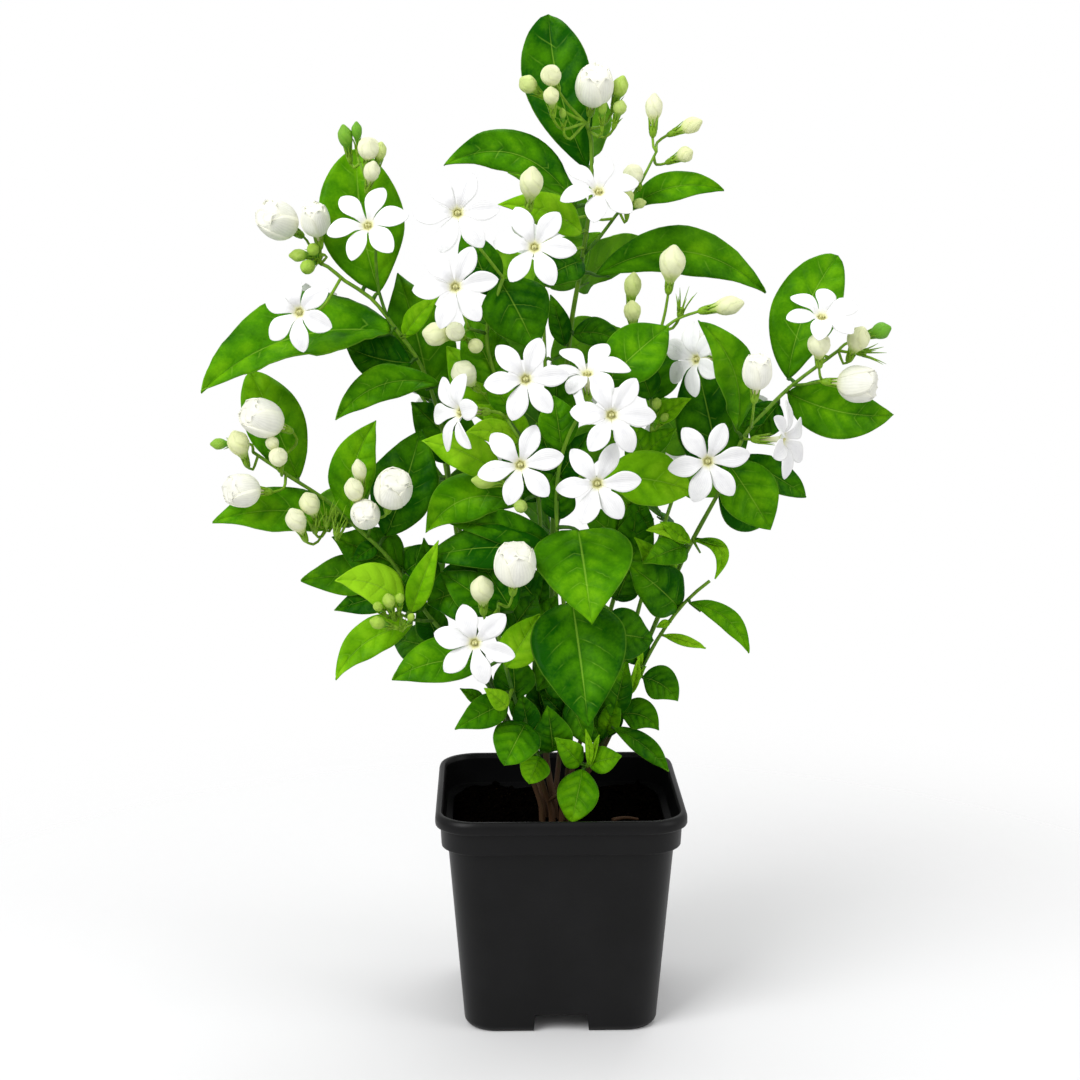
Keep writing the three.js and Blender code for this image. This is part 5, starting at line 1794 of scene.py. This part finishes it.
@dataclass
class HalfOpenShape:
    """A half open flower: petals wrapped round a core, with their tips standing apart.

    Each ring of petals has its share of the width, its count, and how near to the flower's axis
    the tips come, in degrees. The core takes its share of the width, the neck is the length of
    the tube, and snug stretches the upper half.
    """

    plan: Bud
    rng: random.Random
    rings: tuple[tuple[float, int, float], ...] = ((1, 5, 47), (0.95, 4, 45), (0.9, 3, 42))
    thickness: float = 0.46
    neck: float = 3
    core: float = 0.9
    snug: float = 1.38

    def build(self, wardrobe: Wardrobe) -> None:
        """Makes the flower.

        Args:
            wardrobe: the finishes.
        """
        self.plan.tube = self.neck
        self.pose = stance(self.plan)
        clay = Clay()
        first = self.rng.uniform(0, math.tau)
        for size, count, top in self.rings:
            for i in range(count):
                self.petal(clay, first + math.tau * i / count, size, top)
            first += math.pi / count
        self.heart(clay)
        Piece(f"{self.plan.name}_petals", clay, "petals", [self.plan.name], [wardrobe.petal])

    def petal(self, clay: Clay, azimuth: float, size: float, top: float) -> None:
        """Adds one cupped petal.

        Args:
            clay: the piece.
            azimuth: the way that the petal stands in.
            size: its share of the flower's width.
            top: how near to the flower's axis its tip comes, in degrees.
        """
        rng = self.rng
        flare = rng.uniform(0, 0.05) if size == 1 else rng.uniform(-0.01, 0.01)
        last = math.radians(top + rng.uniform(-4, 5))
        half_width = 0.48 * self.plan.width * size

        def where(across: float, t: float) -> tuple[Vector, Values]:
            """The place and values of a corner of the petal."""
            polar = mix(math.pi * 0.98, last, t)
            level = math.sin(polar) * self.plan.width / 2 * size
            shape = 0.35 + 0.65 * step_between(0, 0.55, t)
            if t > 0.55:
                shape = max(1 - ((t - 0.55) / 0.45) ** 2, 0) ** 0.65
            angle = azimuth + across * min(half_width * shape / level, 1.5)
            grow = 1 + 0.022 * across + flare * t**4
            height = math.cos(polar) * self.plan.length / 2 * mix(1, size, 0.7)
            height *= self.snug if height > 0 else 1
            spot = Vector((math.cos(angle) * level * grow, math.sin(angle) * level * grow, height))
            tone = 0.24 * (1 - step_between(0.0, 0.55, t)) + 0.12 + 0.04 * abs(across)
            return self.pose @ spot, {"across": across, "along": t, "tone": tone}

        clay.sheet(8, 14, where, self.thickness)

    def heart(self, clay: Clay) -> None:
        """Adds the wrapped core and the pale green tube behind the petals.

        Args:
            clay: the piece in the making.
        """
        half = self.plan.length / 2
        wide = self.plan.width / 2 * self.core

        def where(co: Vector) -> tuple[Vector, Values]:
            """The place and values of a corner of the core."""
            twist = math.atan2(co.y, co.x) * 3 / math.tau + co.z * 0.8
            share = twist % 1
            grow = wide * (1 + 0.04 * (share - 0.5))
            height = 0.9 * math.sin(min(co.z * 1.3, 1) * math.pi / 2) if co.z > 0 else co.z
            spot = Vector((co.x * grow, co.y * grow, (height + 0.06 * share) * half))
            return self.pose @ spot, {"across": share * 2 - 1, "along": co.z, "tone": 0.14}

        clay.ball(18, 12, where)
        depths = [-self.plan.back - TAIL, -half - self.neck * 0.5, -half - 0.3, -half * 0.9,
                  -half * 0.75]
        radii = [0.95, 1.05, 1.2, self.plan.width * 0.16, self.plan.width * 0.2]
        places = [self.pose @ Vector((0, 0, depth)) for depth in depths]
        clay.rod(places, radii, 10, lambda share: mix(0.5, 0.24, share))


@dataclass
class BudShape:
    """A closed bud with the edges of its wrapped petals as a slow spiral."""

    plan: Bud
    rng: random.Random
    petals: int = 5

    def shape(self, clay: Clay) -> None:
        """Adds the bud to a piece.

        Args:
            clay: the piece in the making.
        """
        pose = stance(self.plan)
        half, back = self.plan.width / 2, self.plan.back
        twist = self.rng.uniform(0.7, 1.3)
        first = self.rng.uniform(0, math.tau)
        ripeness = self.plan.green + self.rng.uniform(-0.05, 0.05)

        def where(co: Vector) -> tuple[Vector, Values]:
            """The place and values of a corner of the bud."""
            angle = math.atan2(co.y, co.x) + first + twist * co.z
            share = (angle * self.petals / math.tau) % 1
            seam = math.exp(-((min(share, 1 - share) / 0.09) ** 2)) * (1 - co.z**2)
            grow = half * (1 + 0.12 * co.z) * (1 + 0.035 * (share - 0.5) - 0.055 * seam)
            grow *= 1 - 0.34 * step_between(0.45, 1, co.z)
            height = co.z * self.plan.length / 2 * (1 + 0.14 * step_between(0.6, 1, co.z))
            if co.z < -0.85:
                height = mix(height, -back - TAIL, (-co.z - 0.85) / 0.15)
            green = 0.34 * step_between(0.2, 1.0, -co.z)
            # Painted shade: the tone rises along the seams, so their grooves look a little darker
            # and greener
            tone = ripeness + green + 0.06 * seam
            spot = pose @ Vector((co.x * grow, co.y * grow, height))
            return spot, {"across": share * 2 - 1, "along": co.z, "tone": tone}

        clay.ball(20, 14, where)


@dataclass
class Studio:
    """The pale floor, the soft lights and the camera, in metres, watts and degrees."""

    floor_radius: float = 1.6
    floor_colour: Colour = (0.77, 0.77, 0.775)
    fade_from: float = 0.12
    fade_to: float = 0.42
    world_light: float = 0.64
    aim: Spot = (0, 0, 0.18)
    sensor: float = 36
    lens: float = 67.9
    stand: Spot = (-0.0239, -0.7277, 0.3055)
    pitch: float = -10.203
    yaw: float = -1.337

    def build(self) -> None:
        """Sets up everything round the object."""
        self.floor()
        self.world()
        self.light("key", (-0.85, -0.9, 1.15), 0.9, 18.5)
        self.light("fill", (1.15, -0.65, 0.7), 0.8, 5)
        self.light("top", (0.15, 0.6, 1.5), 0.8, 7)
        self.camera()
        bpy.context.scene.view_settings.view_transform = "Standard"

    def floor(self) -> None:
        """Lays a pale floor that fades into the backdrop."""
        mesh = bmesh.new()
        bmesh.ops.create_circle(mesh, cap_ends=True, segments=96, radius=self.floor_radius)
        data = bpy.data.meshes.new("floor")
        mesh.to_mesh(data)
        mesh.free()
        floor = bpy.data.objects.new("floor", data)
        bpy.context.scene.collection.objects.link(floor)
        shop = Shader("floor")
        spot = shop.add("ShaderNodeTexCoord", output="Object")
        away = shop.add("ShaderNodeVectorMath", {0: spot}, output="Value", operation="LENGTH")
        gone = away.step(self.fade_from, self.fade_to)
        shop.finish(Base_Color=(*self.floor_colour, 1), Roughness=0.8, Specular_IOR_Level=0.2)
        clear = shop.add("ShaderNodeBsdfTransparent")
        surface = Wire(shop, shop.surface.outputs["BSDF"])
        faded = shop.add("ShaderNodeMixShader", {0: gone, 1: surface, 2: clear})
        output = next(node for node in shop.tree.nodes if node.type == "OUTPUT_MATERIAL")
        shop.tree.links.new(faded.socket, output.inputs["Surface"])
        data.materials.append(shop.material)

    def world(self) -> None:
        """Gives a white backdrop that lights the object a little."""
        world = bpy.data.worlds.new("studio")
        bpy.context.scene.world = world
        world.use_nodes = True
        tree = world.node_tree
        sky = tree.nodes["Background"]
        ray = tree.nodes.new("ShaderNodeLightPath")
        strength = tree.nodes.new("ShaderNodeMapRange")
        strength.inputs["To Min"].default_value = self.world_light
        strength.inputs["To Max"].default_value = 1.0
        tree.links.new(ray.outputs["Is Camera Ray"], strength.inputs["Value"])
        tree.links.new(strength.outputs["Result"], sky.inputs["Strength"])
        sky.inputs["Color"].default_value = (1, 1, 1, 1)

    def light(self, name: str, at: Spot, size: float, power: float) -> None:
        """Hangs a soft square light that looks at the plant.

        Args:
            name: the light's name.
            at: where it hangs.
            size: the length of its side.
            power: its power.
        """
        lamp = bpy.data.lights.new(name, "AREA")
        lamp.shape = "SQUARE"
        lamp.size = size
        lamp.energy = power
        holder = bpy.data.objects.new(name, lamp)
        holder.location = at
        aim = Vector(self.aim) - Vector(at)
        holder.rotation_euler = aim.to_track_quat("-Z", "Y").to_euler()
        bpy.context.scene.collection.objects.link(holder)

    def camera(self) -> None:
        """Sets up the camera at the photograph's angle."""
        lens = bpy.data.cameras.new("camera")
        lens.sensor_width = self.sensor
        lens.lens = self.lens
        camera = bpy.data.objects.new("camera", lens)
        camera.location = self.stand
        camera.rotation_euler = (math.radians(90 + self.pitch), 0, math.radians(self.yaw))
        bpy.context.scene.collection.objects.link(camera)
        bpy.context.scene.camera = camera


def main() -> None:
    """Builds the pot, the peat, the plant and the studio in order."""
    logging.basicConfig(level=logging.INFO, format="%(message)s")
    wardrobe = Wardrobe.mixed()
    pot = Pot()
    pot.build(wardrobe)
    Peat(pot).build(wardrobe)
    for number, plan in enumerate(PLANT):
        Sprig(plan, number).build(wardrobe)
    Studio().build()
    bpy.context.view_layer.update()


if __name__ == "__main__":
    main()
